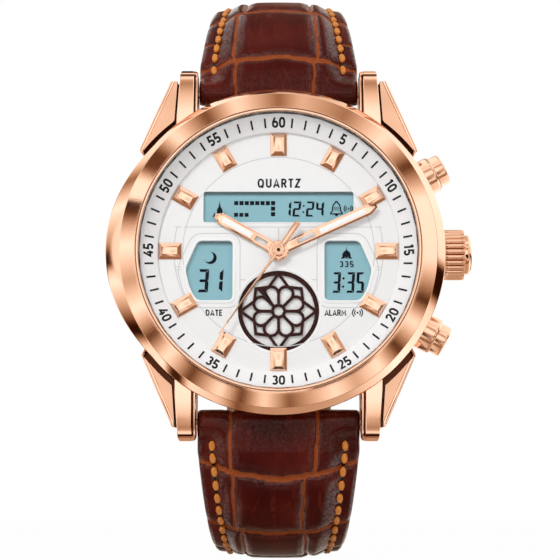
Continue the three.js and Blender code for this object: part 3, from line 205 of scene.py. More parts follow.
def strip(path, width, base, top, closed=False):
    # a thin raised line along a path on the dial
    line = [Vector(p) for p in path]
    points = []
    for i, here in enumerate(line):
        before = line[i - 1] if i or closed else here * 2 - line[1]
        after = line[(i + 1) % len(line)] if i < len(line) - 1 or closed else here * 2 - line[i - 1]
        a, b = (here - before).normalized(), (after - here).normalized()
        side = Vector((-a.y - b.y, a.x + b.x)) * width / 2 / max(1 + a.dot(b), 0.45)
        for at, height in ((here - side, base), (here + side, base), (here + side, top), (here - side, top)):
            points.append((at.x, at.y, height))
    return Shape().add(points, gridFaces(len(line), 4, looped=closed, capped=not closed))


def finishMesh(mesh, sharp=32):
    tool = bmesh.new()
    tool.from_mesh(mesh)
    bmesh.ops.remove_doubles(tool, verts=tool.verts, dist=1e-7)
    bmesh.ops.dissolve_degenerate(tool, dist=1e-8, edges=tool.edges)
    bmesh.ops.recalc_face_normals(tool, faces=tool.faces)
    tool.to_mesh(mesh)
    tool.free()
    mesh.shade_smooth()
    mesh.set_sharp_from_angle(angle=math.radians(sharp))


def linked(name, data):
    piece = bpy.data.objects.new(name, data)
    bpy.context.scene.collection.objects.link(piece)
    return piece


def coat(piece, finish):
    piece.data.materials.clear()
    piece.data.materials.append(finish)


def settle(piece, body, finish, slot, replaced=()):
    # the last step of each piece: its finish, its body and the solids that it stands for
    coat(piece, finish)
    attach(piece, body)
    if replaced:
        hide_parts(*replaced)
    return piece


def meshPiece(name, shape, sharp=32):
    mesh = bpy.data.meshes.new(name)
    mesh.from_pydata([dialToRow @ Vector(p) for p in shape.points], [], shape.faces)
    for mark, values in shape.marks.items():
        mesh.attributes.new(mark, "FLOAT", "POINT").data.foreach_set("value", [float(v) for v in values])
    finishMesh(mesh, sharp)
    return linked(name, mesh)


def buildPiece(name, shape, body, finish, slot, replaced=(), sharp=32):
    return settle(meshPiece(name, shape, sharp), body, finish, slot, replaced)


def bevelled(piece, width, segments=2, angle=30):
    soft = piece.modifiers.new("edge", "BEVEL")
    soft.width, soft.segments = width * mm, segments
    soft.limit_method, soft.angle_limit = "ANGLE", math.radians(angle)
    return piece


def applied(piece):
    # the piece's modifiers become part of its mesh
    whole = bpy.data.meshes.new_from_object(piece.evaluated_get(bpy.context.evaluated_depsgraph_get()))
    piece.modifiers.clear()
    piece.data = whole
    return piece


# Shader maths

class Wire:
    # a socket that can be used in sums
    def __init__(self, finish, socket):
        self.finish, self.socket = finish, socket

    def maths(self, operation, *others):
        inputs = dict(enumerate((self, *others)))
        return self.finish.node("ShaderNodeMath", {"operation": operation}, inputs)

    def __add__(self, other):
        return self.maths("ADD", other)

    def __mul__(self, other):
        return self.maths("MULTIPLY", other)

    def __sub__(self, other):
        return self.maths("SUBTRACT", other)

    def __rsub__(self, other):
        return (self * -1) + other

    def __truediv__(self, other):
        return self.maths("DIVIDE", other)

    def __pow__(self, other):
        return self.maths("POWER", other)

    __radd__ = __add__
    __rmul__ = __mul__

    def between(self, start, end):
        return self.finish.node("ShaderNodeMapRange", {"interpolation_type": "SMOOTHSTEP"},
                                {"Value": self, "From Min": start, "From Max": end})

    def within(self, start, end, soft):
        # 1 between two places, with soft ends inside them
        return self.between(start, start + soft) * (1 - self.between(end - soft, end))

    def colours(self, *stops):
        return self.finish.node("ShaderNodeValToRGB", {"stops": stops}, {"Fac": self})

    def greys(self, *stops):
        return self.colours(*[(at, (value, value, value)) for at, value in stops])


class Graph:
    # a node tree; each new node takes its settings first, then the values and links of its inputs
    def __init__(self, tree):
        self.tree = tree
        self.tree.nodes.clear()

    def node(self, kind, settings=None, inputs=None, output=0):
        made = self.tree.nodes.new(kind)
        for key, value in (settings or {}).items():
            if key == "stops":
                ramp = made.color_ramp
                while len(ramp.elements) < len(value):
                    ramp.elements.new(0.5)
                for element, (place, colour) in zip(ramp.elements, value):
                    element.position, element.color = place, (*colour, 1)
            else:
                setattr(made, key, value)
        for key, value in (inputs or {}).items():
            for given in value if isinstance(value, list) else [value]:
                self.put(given, made.inputs[key])
        return Wire(self, made.outputs[output]) if len(made.outputs) else made

    def put(self, value, socket):
        # a link, or a number or colour that is the same all over
        if isinstance(value, Wire):
            self.tree.links.new(value.socket, socket)
        else:
            socket.default_value = (*value, 1) if socket.type == "RGBA" else value

    def parts(self, vector):
        split = self.tree.nodes.new("ShaderNodeSeparateXYZ")
        self.put(vector, split.inputs[0])
        return [Wire(self, socket) for socket in split.outputs]

    def joined(self, x, y, z):
        return self.node("ShaderNodeCombineXYZ", inputs={"X": x, "Y": y, "Z": z})


class Growth(Graph):
    # a geometry tree; the sizes whose names start with a capital are its inputs
    def __init__(self, name, sizes):
        super().__init__(bpy.data.node_groups.new(name, "GeometryNodeTree"))
        self.name, self.sockets = name, {}
        self.sizes = {key: value for key, value in sizes.items() if key[0].isupper()}
        face = self.tree.interface
        face.new_socket(name="Geometry", in_out="INPUT", socket_type="NodeSocketGeometry")
        for key, value in self.sizes.items():
            kind = "NodeSocketInt" if isinstance(value, int) else "NodeSocketFloat"
            self.sockets[key] = face.new_socket(name=key, in_out="INPUT", socket_type=kind)
        face.new_socket(name="Geometry", in_out="OUTPUT", socket_type="NodeSocketGeometry")
        self.start = self.tree.nodes.new("NodeGroupInput")

    def size(self, key):
        return Wire(self, self.start.outputs[key])

    def position(self):
        return self.parts(self.node("GeometryNodeInputPosition"))

    def cube(self, x, y, z, levels=2):
        return self.node("GeometryNodeMeshCube", inputs={"Size": self.joined(x, y, z), "Vertices Z": levels})

    def roundAngle(self, count):
        # the turn of each of count pieces round the dial
        return self.node("GeometryNodeInputIndex") / count * turn - math.pi / 2

    def ring(self, count, radius, turned=(0, 0, 0)):
        # points round an axis
        made = self.node("GeometryNodeMeshCircle", inputs={"Vertices": count, "Radius": radius})
        return self.moved(made, (0, 0, 0), turned)

    def moved(self, geometry, offset, turned=(0, 0, 0)):
        return self.node("GeometryNodeTransform", inputs={
            "Geometry": geometry, "Translation": offset, "Rotation": turned})

    def placed(self, geometry, **inputs):
        return self.node("GeometryNodeSetPosition", inputs={"Geometry": geometry, **inputs})

    def spread(self, points, instance, turned, **inputs):
        return self.node("GeometryNodeInstanceOnPoints", inputs={
            "Points": points, "Instance": instance, "Rotation": turned, **inputs})

    def piece(self, geometry, finish, body, slot, replaced=(), start=None):
        # realizes the instances and turns the tree's result, in watch millimetres, into a plain mesh
        real = self.node("GeometryNodeRealizeInstances", inputs={0: geometry})
        coated = self.node("GeometryNodeSetMaterial", inputs={"Geometry": real, "Material": finish})
        self.node("NodeGroupOutput", inputs={"Geometry": coated})
        grown = linked(self.name, start or bpy.data.meshes.new(self.name))
        growth = grown.modifiers.new("growth", "NODES")
        growth.node_group = self.tree
        for key, value in self.sizes.items():
            growth[self.sockets[key].identifier] = value
        applied(grown).data.transform(dialToRow)
        return settle(grown, body, finish, slot, replaced)


class Finish(Graph):
    def __init__(self, name, world=None):
        self.holder = world or bpy.data.materials.new(name)
        self.holder.use_nodes = True
        super().__init__(self.holder.node_tree)

    def place(self):
        return self.node("ShaderNodeTexCoord", output="Object")

    def attribute(self, name):
        return self.node("ShaderNodeAttribute", {"attribute_name": name}, output="Fac")

    def ray(self, kind):
        return self.node("ShaderNodeLightPath", output="Is " + kind + " Ray")

    def stretched(self, vector, scale, turned=(0, 0, 0)):
        return self.node("ShaderNodeMapping", inputs={"Vector": vector, "Scale": scale, "Rotation": turned})

    def noise(self, vector, scale, detail=3, roughness=0.5, distortion=0):
        return self.node("ShaderNodeTexNoise", inputs={
            "Vector": vector, "Scale": scale, "Detail": detail, "Roughness": roughness,
            "Distortion": distortion})

    def cells(self, vector, scale, feature="F1"):
        return self.node("ShaderNodeTexVoronoi", {"feature": feature}, {"Vector": vector, "Scale": scale},
                         "Distance")

    def blend(self, share, first, second):
        return self.node("ShaderNodeMix", {"data_type": "RGBA"}, {"Factor": share, 6: first, 7: second}, 2)

    def either(self, share, first, second):
        # one shader or the other
        return self.node("ShaderNodeMixShader", inputs={0: share, 1: first, 2: second})

    def bump(self, height, distance, strength):
        return self.node("ShaderNodeBump", inputs={
            "Height": height, "Distance": distance, "Strength": strength})

    def surface(self, **inputs):
        # the sockets of a Principled BSDF, named in camelCase
        shader = self.tree.nodes.new("ShaderNodeBsdfPrincipled")
        sockets = {socket.name.replace(" ", "").lower(): socket for socket in shader.inputs}
        for key, value in inputs.items():
            self.put(value, sockets[key.lower()])
        return self.close(Wire(self, shader.outputs[0]))

    def close(self, shader):
        self.node("ShaderNodeOutputMaterial", inputs={"Surface": shader})
        return self.holder


# Finishes

def roseGold(name, roughness=0.045):
    made = Finish(name)
    place = made.place()
    cloud, fine = made.noise(place, 160, 2), made.noise(place, 5200, 2)
    unshaded = made.blend(cloud, (0.9, 0.585, 0.44), (0.93, 0.63, 0.48))
    # where a piece marks its hollows, the colour is darkened to dark brown: painted shade in grooves, gaps
    # and under lips
    colour = made.blend(made.attribute("recess"), unshaded, (0.05, 0.016, 0.008))
    return made.surface(baseColor=colour, metallic=1.0, roughness=roughness + cloud * 0.03 + fine * 0.02,
                        normal=made.bump(fine, 0.000004, 0.4))


def steelFinish(name, circular, colour=(0.56, 0.57, 0.59)):
    # turned round the dial's axis, or drawn along x
    made = Finish(name)
    x, y, z = made.parts(made.place())
    if circular:
        lines = made.noise(made.joined((x * x + z * z) ** 0.5, y * 0.3, 0), 26000, 2)
    else:
        lines = made.noise(made.joined(x * 0.04, y, z), 16000, 2)
    shade = made.blend(lines, colour, tuple(c * 1.25 for c in colour))
    return made.surface(baseColor=shade, metallic=1.0, roughness=lines * 0.2 + 0.2,
                        normal=made.bump(lines, 0.000006, 0.5))


def brassFinish(name):
    made = Finish(name)
    cloud = made.noise(made.place(), 900)
    colour = made.blend(cloud, (0.56, 0.38, 0.12), (0.74, 0.53, 0.22))
    return made.surface(baseColor=colour, metallic=1.0, roughness=cloud * 0.2 + 0.25)


def lacquer(name, colour, roughness):
    made = Finish(name)
    fine, cloud = made.noise(made.place(), 3800), made.noise(made.place(), 90, 2)
    shade = made.blend(cloud, tuple(c * 0.965 for c in colour), colour)
    return made.surface(baseColor=shade, roughness=fine * 0.12 + (roughness - 0.06),
                        coatWeight=0.25, coatRoughness=0.2, normal=made.bump(fine, 0.00001, 0.35))


def ink(name, colour, roughness):
    made = Finish(name)
    fine = made.noise(made.place(), 4200)
    shade = made.blend(fine, colour, tuple(c * 1.9 + 0.002 for c in colour))
    return made.surface(baseColor=shade, roughness=fine * 0.2 + (roughness - 0.1), specularIORLevel=0.08)


def displayFinish(name):
    made = Finish(name)
    x, y, z = made.parts(made.place())
    cloud = made.noise(made.place(), 140, 2)
    rows = (z * 14000).maths("SINE") * (x * 14000).maths("SINE")
    shade = made.blend(cloud * 0.7 + rows * 0.05 + 0.15, (0.2, 0.43, 0.5), (0.262, 0.505, 0.575))
    # a painted shadow darkens it under the upper edges of its windows
    upper = z.between(0.00775, 0.0082)
    side = z.between(0.0007, 0.0014) * (1 - z.between(0.002, 0.0022))
    shade = made.blend((upper + side) * 0.8, shade, (0.02, 0.075, 0.09))
    return made.surface(baseColor=shade, roughness=cloud * 0.1 + 0.2, coatWeight=0.35, coatRoughness=0.06)


def lumeFinish(name):
    made = Finish(name)
    grains = made.cells(made.place(), 9000)
    shade = made.blend(grains, (0.93, 0.93, 0.9), (0.98, 0.98, 0.96))
    return made.surface(baseColor=shade, roughness=grains * 0.15 + 0.5,
                        normal=made.bump(grains, 0.000008, 0.3))


def enamelFinish(name):
    made = Finish(name)
    cloud = made.noise(made.place(), 1400)
    shade = made.blend(cloud, (0.024, 0.0035, 0.0025), (0.036, 0.006, 0.004))
    return made.surface(baseColor=shade, roughness=cloud * 0.12 + 0.3, specularIORLevel=0.08,
                        coatWeight=0.03, coatRoughness=0.1)


def pearlFinish(name):
    made = Finish(name)
    waves = made.noise(made.stretched(made.place(), (1, 1, 1.7), (0, 0.5, 0)), 420, 4, 0.6, 1.6)
    shade = waves.colours((0.25, (0.9, 0.8, 0.88)), (0.45, (0.84, 0.86, 0.83)),
                          (0.6, (0.93, 0.92, 0.93)), (0.78, (0.78, 0.88, 0.86)))
    return made.surface(baseColor=shade, roughness=waves * 0.15 + 0.16, coatWeight=0.7, coatRoughness=0.05)


def mouldedPlastic(name, colour):
    made = Finish(name)
    fine = made.noise(made.place(), 5000)
    shade = made.blend(fine, colour, tuple(c * 1.5 + 0.004 for c in colour))
    return made.surface(baseColor=shade, roughness=fine * 0.2 + 0.45, normal=made.bump(fine, 0.00001, 0.4))


def boardFinish(name):
    made = Finish(name)
    edges = made.cells(made.stretched(made.place(), (1, 1, 0.3)), 900, "DISTANCE_TO_EDGE")
    tracks = edges.between(0.03, 0.07)
    shade = made.blend(tracks, (0.05, 0.26, 0.09), (0.015, 0.12, 0.04))
    return made.surface(baseColor=shade, roughness=tracks * 0.1 + 0.35)


def crystalFinish(name):
    made = Finish(name)
    edge = made.node("ShaderNodeLayerWeight", inputs={"Blend": 0.25}, output="Facing")
    dust = made.noise(made.place(), 700, 2)
    return made.surface(baseColor=(0.9, 0.95, 0.96), roughness=dust * 0.02 + 0.02,
                        alpha=(edge ** 3) * 0.3 + 0.004, ior=1.5)


polished = roseGold("rose_gold_polished")
softGold = roseGold("rose_gold_soft", 0.12)
steel = steelFinish("brushed_steel", True)
pinSteel = steelFinish("turned_steel", False)
darkSteel = steelFinish("dark_steel", False, (0.05, 0.045, 0.045))
brass = brassFinish("satin_brass")
whiteDial = lacquer("white_dial", (0.9, 0.9, 0.9), 0.42)
whiteRing = lacquer("white_chapter_ring", (0.93, 0.915, 0.915), 0.5)
whiteRim = lacquer("white_window_rim", (0.95, 0.95, 0.95), 0.3)
# the relief lines stand only 0.012 mm proud, and their grey is painted shade for the small steps of the dial
reliefGrey = lacquer("relief_line", (0.62, 0.625, 0.63), 0.5)
dialInk = ink("dial_ink", (0.012, 0.012, 0.014), 0.45)
displayInk = ink("display_segment", (0.0005, 0.0015, 0.006), 0.4)
display = displayFinish("display_glass")
lume = lumeFinish("luminous_paint")
enamel = enamelFinish("brown_enamel")
pearl = pearlFinish("mother_of_pearl")
blackPlastic = mouldedPlastic("black_plastic", (0.014, 0.014, 0.016))
rubber = mouldedPlastic("black_rubber", (0.008, 0.008, 0.009))
board = boardFinish("circuit_board")
glass = crystalFinish("crystal_glass")

# solids that keep their shapes, each under the finish of its kind
for finish, nodes in (
        (brass, ("hour_wheel", "speaker")), (polished, ("cannon_pinion",)), (darkSteel, ("second_arbor",)),
        (steel, ("battery",)), (blackPlastic, ("movement_block", "movement_ring")),
        (board, ("circuit_board",)),
        (pinSteel, ("crown_tube", "crown_stem", "setting_lever", "spring_bar_upper", "spring_bar_lower")),
        (rubber, ("case_back_gasket", "crystal_gasket")), (pearl, ("rosette_disc",)),
        (display, ("lcd_panel",))):
    for node in nodes:
        coat(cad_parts[node], finish)
print("finishes made")

# Case: a turned band with four lugs, each a bar with a sunk line round its flat top, and a wing beside it

caseSizes = {
    "foot": 0.5, "top": 8.4, "band": 21.8, "bore": 17.3, "shelf": 19.9, "shelfHeight": 1.525,
    "wallReach": 20.5, "lugInner": 11.38, "rootWidth": 3.1, "tipWidth": 2.5, "lugReach": 26.2,
    "lugTop": 7.95, "lugFoot": 0.9, "rootReach": 17.75, "rootRadius": 19.5, "blendReach": 19.0,
    "flatTop": 6.8, "seam": 0.2, "seamReach": (25.28, 25.5), "tipRound": (0.45, 0.24),
    "wingStart": 10.57, "wingShoulder": {1: (19.6, 14.6), -1: (19.0, 14.3)},
    "wingTip": {1: (15.25, 24.6), -1: (14.7, 24.25)}, "wingTop": (7.2, 6.95), "wingRim": 0.58, "gap": 0.34,
    "gapRadius": {1: 23.95, -1: 23.6}, "gapDepth": 1.8, "facetSlope": 0.16,
}


def caseBand():
    c = caseSizes
    profile = softened([
        (c["shelf"], c["foot"]), (20.9, c["foot"]), (c["band"], 1.6), (c["band"], 8.0),
        (21.4, c["top"]), (c["bore"], c["top"]), (c["bore"], c["shelfHeight"]),
        (c["shelf"], c["shelfHeight"])], 0.12, 3)
    band = lathe(profile, 320)
    for i, (x, y, h) in enumerate(band.points):
        if abs(x) < c["lugInner"] + 0.3 and abs(y) > c["wallReach"]:
            # a flat wall behind each end of the strap
            band.points[i] = (x, math.copysign(c["wallReach"], y), h)
    return band


def lugOutline():
    # side view from the underside, round the tip and back along the top, as (reach, height)
    c = caseSizes
    rise = c["lugTop"] - c["lugFoot"]
    shares = [(0.5, 0), (0.68, 0), (0.8, 0.02), (0.88, 0.08), (0.94, 0.22), (0.975, 0.42), (0.995, 0.62),
              (1, 0.77), (0.993, 0.85), (0.975, 0.9), (0.95, 0.932), (0.9, 0.962), (0.84, 0.982),
              (0.76, 0.996), (0.66, 1), (0.5, 1)]
    points = [Vector((a * c["lugReach"], c["lugFoot"] + b * rise)) for a, b in shares]
    smooth, steps = [], 6
    for i in range(1, len(points) - 2):
        p0, p1, p2, p3 = points[i - 1:i + 3]
        for k in range(steps):
            t = k / steps
            smooth.append(tuple(0.5 * (2 * p1 + (p2 - p0) * t + (2 * p0 - 5 * p1 + 4 * p2 - p3) * t ** 2
                                       + (3 * p1 - p0 - 3 * p2 + p3) * t ** 3)))
    return smooth + [tuple(points[-2])]


def lugBarEdge(reach):
    c = caseSizes
    share = np.clip((reach - c["rootReach"]) / (c["lugReach"] - c["rootReach"]), 0, 1)
    return c["lugInner"] + mix(c["rootWidth"], c["tipWidth"], share)


def lugBar():
    c = caseSizes
    outline = lugOutline()
    count, first = len(outline), outline[0][0]
    flush = insetLoop(outline, 0.04)
    seamStart, seamEnd = c["seamReach"]
    points, recess = [], []
    # across the bar: share of its width, a step aside, how far it lies inside the outline, painted shade (1
    # where the colour is darkened)
    sections = [
        (0, 0, 0.5, 0), (0, 0, 0.3, 0), (0, 0.05, 0.16, 0), (0, 0.14, 0.08, 0), (0, 0.27, 0.08, 0),
        (0, 0.33, 0.14, 0), (0, 0.35, 0.5, 1), (0, 0.58, 0.5, 1), (0, 0.6, 0.07, 0), (0, 0.67, 0, 0),
        (1, -0.12, 0, 0), (1, -0.04, 0.07, 0), (1, 0, 0.3, 0), (1, 0.02, 0.9, 1), (1, 0.02, 1.6, 1)]
    for share, aside, depth, dark in sections:
        sunk, groove = insetLoop(outline, depth), share == 0 and dark
        for i, (reach, height) in enumerate(outline):
            edge = lugBarEdge(reach)
            deep, topSide = dark if height > 2.2 else 0, height > c["flatTop"]
            if i in (0, count - 1):
                reachIn, heightIn = reach, height + (depth if i == 0 else -depth)
            elif groove and not (topSide and reach < seamEnd):
                (reachIn, heightIn), deep = flush[i], 0
            else:
                reachIn, heightIn = sunk[i]
            if topSide and depth <= 0.07 and aside + share > 0.5 and seamStart < reach < seamEnd:
                # the flat top ends in a sunk line before the rounded tip, darkened with painted shade
                heightIn, deep = heightIn - c["seam"], 1
            # the sides draw in round the tip, and the root follows the case
            past = float(np.clip((reach - c["lugReach"]) / c["tipRound"][0] + 1, 0, 1))
            middle = (c["lugInner"] + edge) / 2
            x = mix(c["lugInner"], edge, share) + aside
            x = middle + (x - middle) * (1 - c["tipRound"][1] * (1 - math.sqrt(1 - past ** 2)))
            if reachIn < c["blendReach"]:
                root = math.sqrt(max(c["rootRadius"] ** 2 - x * x, 1))
                reachIn = mix(root, c["blendReach"], (reachIn - first) / (c["blendReach"] - first))
            points.append((x, reachIn, heightIn))
            recess.append(deep)
    return Shape().add(points, gridFaces(len(sections), count, capped=True), recess=recess)


def lugWing(end):
    # beside each bar: a sloped facet inside a raised rim, parted from bar and bezel by a gap whose floor and
    # walls are darkened with painted shade
    c = caseSizes
    (shoulderX, shoulderY), (tipX, tipY) = c["wingShoulder"][end], c["wingTip"][end]
    reaches = [float(v) for v in np.linspace(c["wingStart"], tipY, 44)]
    points, recess = [], []
    for reach in reaches:
        bar = lugBarEdge(reach)
        outer = mix(shoulderX, tipX, (reach - shoulderY) / (tipY - shoulderY))
        if reach < shoulderY:
            outer = mix(math.sqrt(c["band"] ** 2 - reach ** 2) - 0.05, shoulderX,
                        (reach - reaches[0]) / (shoulderY - reaches[0]))
        low, foot = mix(*c["wingTop"], smoothStep(reach, 19, tipY)), c["lugFoot"]
        besideBezel = math.sqrt(max(c["gapRadius"][end] ** 2 - reach ** 2, 0))
        facet = min(max(bar + c["gap"], besideBezel), outer - 0.3)
        rim = min(c["wingRim"], outer - facet - 0.02)
        inner = min(bar - 0.3 if reach > 15 else math.sqrt(c["rootRadius"] ** 2 - reach ** 2), facet - 0.1)
        ending = 0.5 * smoothStep(outer - bar, 0.5, 1.5)
        edge, floor = low - 0.12 - c["facetSlope"] * (outer - rim - facet), low - c["gapDepth"]
        # the third number of each point is its painted shade
        section = [
            (inner, foot + 0.6, 0), (inner, floor, 1), (facet - 0.07, floor, 1),
            (facet - 0.03, edge - 0.16, 0.8), (facet - 0.02, edge - 0.04, 0.7), (facet, edge, 0),
            (outer - rim, low - 0.12, 0),
            (outer - rim + 0.06, low, 0), (outer - rim / 2, low + 0.03, 0), (outer - 0.09, low - 0.02, 0),
            (outer, low - 0.16, 0), (outer, low - 0.9, 0), (outer - ending, foot + 0.9, 0)]
        points += [(x, reach, h) for x, h, deep in section]
        recess += [deep for x, h, deep in section]
    return Shape().add(points, gridFaces(len(reaches), len(section), capped=True), recess=recess)


caseShape = caseBand()
for flipX in (1, -1):
    for flipY in (1, -1):
        for part in (lugBar(), lugWing(flipY)):
            caseShape.merge(part, Matrix.Diagonal((flipX, flipY, 1, 1)))
buildPiece("case_body", caseShape, "case", polished, "rose_gold", ["middle_case"])

# Bezel: its flank is fuller at 9 o'clock, and a little at 3 o'clock

bezelSizes = {"bore": 19.45, "base": 8.45, "radius": 22.8, "flankTop": 9.5, "faceEdge": (21.9, 10.8),
              "top": (19.66, 11.6), "land": 19.32, "lip": (19.15, 11.2), "gasketTop": 10.9, "groove": 0.14,
              "fullSide": (1.12, 0.32), "spread": 40}


def bezel():
    b = bezelSizes
    inner, height = b["top"]
    profile = softened([
        (b["bore"], b["base"], 0), (b["radius"] - 0.4, b["base"], 0.1), (b["radius"], b["base"] + 0.4, 0.12),
        (b["radius"], b["flankTop"], 0.16), (*b["faceEdge"], 0.08), (inner + 0.04, height, 0.05),
        (inner, height - b["groove"], 0.01), (inner - 0.1, height - b["groove"], 0.01),
        (inner - 0.12, height - 0.06, 0.03), (b["land"], height - 0.09, 0.02), (*b["lip"], 0.03),
        (b["lip"][0], b["gasketTop"], 0.02), (b["bore"], b["gasketTop"], 0)], 0.1, 5)
    ring = lathe(profile, 400)
    ring.marks["recess"] = []
    for i, (x, y, h) in enumerate(ring.points):
        radius, side = math.hypot(x, y), 0 if x < 0 else 1
        away = math.degrees(abs(math.atan2(y, abs(x))))
        swell = b["fullSide"][side] * math.cos(math.radians(90 * min(away / b["spread"], 1))) ** 1.2
        share = float(np.clip((radius - b["faceEdge"][0]) / (b["radius"] - b["faceEdge"][0]), 0, 1))
        grown = 1 + swell * share / radius
        ring.points[i] = (x * grown, y * grown, h)
        # the groove at the face's inner edge and the land under the lip are darkened with painted shade
        inGroove = inner - 0.11 < radius < inner + 0.01 and h > height - 0.2
        underLip = radius < b["land"] - 0.01 and h > b["base"]
        ring.marks["recess"].append(0.75 if inGroove else 0.85 if underLip else 0)
    return ring


def crystalDisc():
    (low, high), radius, edge = nodeHeights("crystal"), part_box("crystal")[1].x / mm, 0.15
    profile = softened([(0, low, 0), (radius, low, 0.05), (radius, high - edge, 0.05),
                        (radius - edge, high, 0.05), (0, high, 0)], 0.05, 2, closed=False)
    return lathe(profile, toAxis=True)


buildPiece("bezel_ring", bezel(), "case", polished, "rose_gold", ["bezel"])
buildPiece("crystal_disc", crystalDisc(), "case", glass, "crystal_glass", ["crystal"])
print("case, bezel and crystal")

# Words and figures are strokes in a box 1 high, with the base line at 0

def loopPath(halfWidth, low, high, steps=20):
    middle, rise, power = (low + high) / 2, (high - low) / 2, 0.8

    def fuller(value):
        return math.copysign(abs(value) ** power, value)

    return [(halfWidth * fuller(a), middle + rise * fuller(b)) for a, b in circle(1, steps)] + ["closed"]


def bend(x, y, rx, ry, start, end, steps=8):
    unit = arc((0, 0), 1, math.radians(start), math.radians(end), steps)
    return [(x + rx * a, y + ry * b) for a, b in unit]


# each figure: its width, then its strokes
figures = {
    "0": (0.62, [loopPath(0.2, 0.08, 0.92)]),
    "1": (0.44, [[(0.04, 0), (0.04, 0.96)], [(-0.14, 0.74), (0.04, 0.92)]]),
    "2": (0.6, [bend(0, 0.7, 0.19, 0.22, 165, -25) + [(-0.19, 0.08), (0.22, 0.08)]]),
    "3": (0.6, [bend(-0.01, 0.715, 0.18, 0.205, 150, -85), bend(-0.01, 0.295, 0.2, 0.215, 85, -150)]),
    "4": (0.62, [[(0.06, 0.97), (-0.22, 0.28), (0.25, 0.28)], [(0.1, 0.6), (0.1, 0)]]),
    "5": (0.6, [[(0.19, 0.92), (-0.15, 0.92), (-0.18, 0.5)] + bend(0, 0.3, 0.2, 0.23, 110, -150)]),
    "6": (0.62, [loopPath(0.2, 0.08, 0.56), [(-0.2, 0.34), (-0.19, 0.5), (-0.02, 0.97)]]),
    "A": (0.72, [[(-0.28, 0), (0, 0.93), (0.28, 0)], [(-0.19, 0.27), (0.19, 0.27)]]),
    "D": (0.68, [[(-0.22, 0.08), (-0.22, 0.92), (-0.02, 0.92)] + bend(-0.02, 0.5, 0.24, 0.42, 80, -80)
                 + [(-0.02, 0.08), (-0.22, 0.08)]]),
    "E": (0.58, [[(0.2, 0.92), (-0.18, 0.92), (-0.18, 0.08), (0.2, 0.08)], [(-0.18, 0.5), (0.15, 0.5)]]),
    "L": (0.54, [[(-0.17, 1), (-0.17, 0.08), (0.2, 0.08)]]),
    "M": (0.84, [[(-0.29, 0), (-0.29, 0.93), (0, 0.3), (0.29, 0.93), (0.29, 0)]]),
    "Q": (0.76, [loopPath(0.26, 0.08, 0.92), [(0.06, 0.26), (0.28, 0)]]),
    "R": (0.66, [[(-0.2, 0), (-0.2, 0.92), (0, 0.92)] + bend(0, 0.7, 0.2, 0.22, 80, -80)
                 + [(0, 0.48), (-0.2, 0.48)], [(0.02, 0.48), (0.23, 0)]]),
    "T": (0.62, [[(-0.26, 0.92), (0.26, 0.92)], [(0, 0.92), (0, 0)]]),
    "U": (0.7, [[(-0.22, 1), (-0.22, 0.32)] + bend(0, 0.32, 0.22, 0.24, 180, 360) + [(0.22, 1)]]),
    "Z": (0.64, [[(-0.22, 0.92), (0.23, 0.92), (-0.23, 0.08), (0.24, 0.08)]]),
}


def lettering(text, height, centre, levels, weight=0.2, spacing=1.0, wide=1.0, turned=0):
    # one raised stroke after another, centred on its place; later strokes stand a hair higher
    shape, order = Shape(), 0
    widths = [figures[c][0] * height * spacing for c in text]
    along = -sum(widths) / 2
    spin = Matrix.Rotation(turned, 2)
    for c, width in zip(text, widths):
        middle = along + width / 2
        for path in figures[c][1]:
            placed = [Vector(centre) + spin @ Vector((middle + p[0] * height * wide, (p[1] - 0.5) * height))
                      for p in path if p != "closed"]
            top = levels[1] + 0.0015 * (order % 3)
            shape.merge(strip(placed, weight * height, levels[0], top, path[-1] == "closed"))
            order += 1
        along += width
    return shape


def block(outline, levels):
    return plate(outline, [], [(0, height) for height in levels])


def mirrored(half):
    return half + [(-a, b) for a, b in half[::-1] if a]


# Chapter ring: a white slope with the minute track printed on it

ringSizes = {"inner": 16.75, "outer": 19.4, "rim": 0.35, "base": 8.45, "innerTop": 8.85, "top": 10.25,
             "numeralRadius": 18.0, "numeralHeight": 1.3, "numeralShape": (0.215, 1.2, 1.18), "print": 0.015}
tickSizes = {"Count": 60, "Numeral Step": 5, "Radius": 17.96, "Length": 1.4, "Width": 0.26, "Thickness": 0.05}


def ringHeight(radius):
    r = ringSizes
    return mix(r["innerTop"], r["top"], (radius - r["inner"]) / (r["outer"] - r["rim"] - r["inner"]))


def chapterRing():
    r = ringSizes
    inner, outer, base, top = r["inner"], r["outer"], r["base"], r["top"]
    return lathe(softened([
        (inner, base, 0.02), (inner, r["innerTop"], 0.1), (outer - r["rim"], top, 0.1),
        (outer, top, 0.03), (outer, base, 0.02)], 0.05, 4), 320)


def minuteTicks():
    grow = Growth("minute_ticks", tickSizes)
    size = grow.size
    slope = math.atan(ringHeight(ringSizes["inner"] + 1) - ringSizes["innerTop"])
    # the numerals take every fifth place
    inStep = grow.node("GeometryNodeInputIndex").maths("MODULO", size("Numeral Step"))
    between = inStep.maths("GREATER_THAN", 0.5)
    spread = grow.spread(grow.ring(size("Count"), size("Radius")),
                         grow.cube(size("Width"), size("Length"), size("Thickness")),
                         grow.joined(slope, 0, grow.roundAngle(size("Count"))), Selection=between)
    lifted = grow.moved(spread, (0, 0, ringHeight(tickSizes["Radius"])))
    return grow.piece(lifted, dialInk, "case", "white_lacquer")


def numerals():
    shape, r = Shape(), ringSizes
    levels = (-r["print"], r["print"])
    for minutes in range(5, 65, 5):
        # the lower ones are turned to be read upright
        turned = (turn / 2 if 20 <= minutes <= 40 else 0) - minutes * turn / 60
        shape.merge(lettering(str(minutes), r["numeralHeight"], clockPlace(r["numeralRadius"], minutes),
                              levels, *r["numeralShape"], turned))
    shape.points = [(x, y, ringHeight(math.hypot(x, y)) + h) for x, y, h in shape.points]
    return shape


buildPiece("chapter_ring_slope", chapterRing(), "case", whiteRing, "white_lacquer", ["chapter_ring"])
minuteTicks()
buildPiece("minute_numerals", numerals(), "case", dialInk, "white_lacquer")
print("chapter ring and minute track")

# Dial: a plate with four openings, raised window rims and fine relief lines

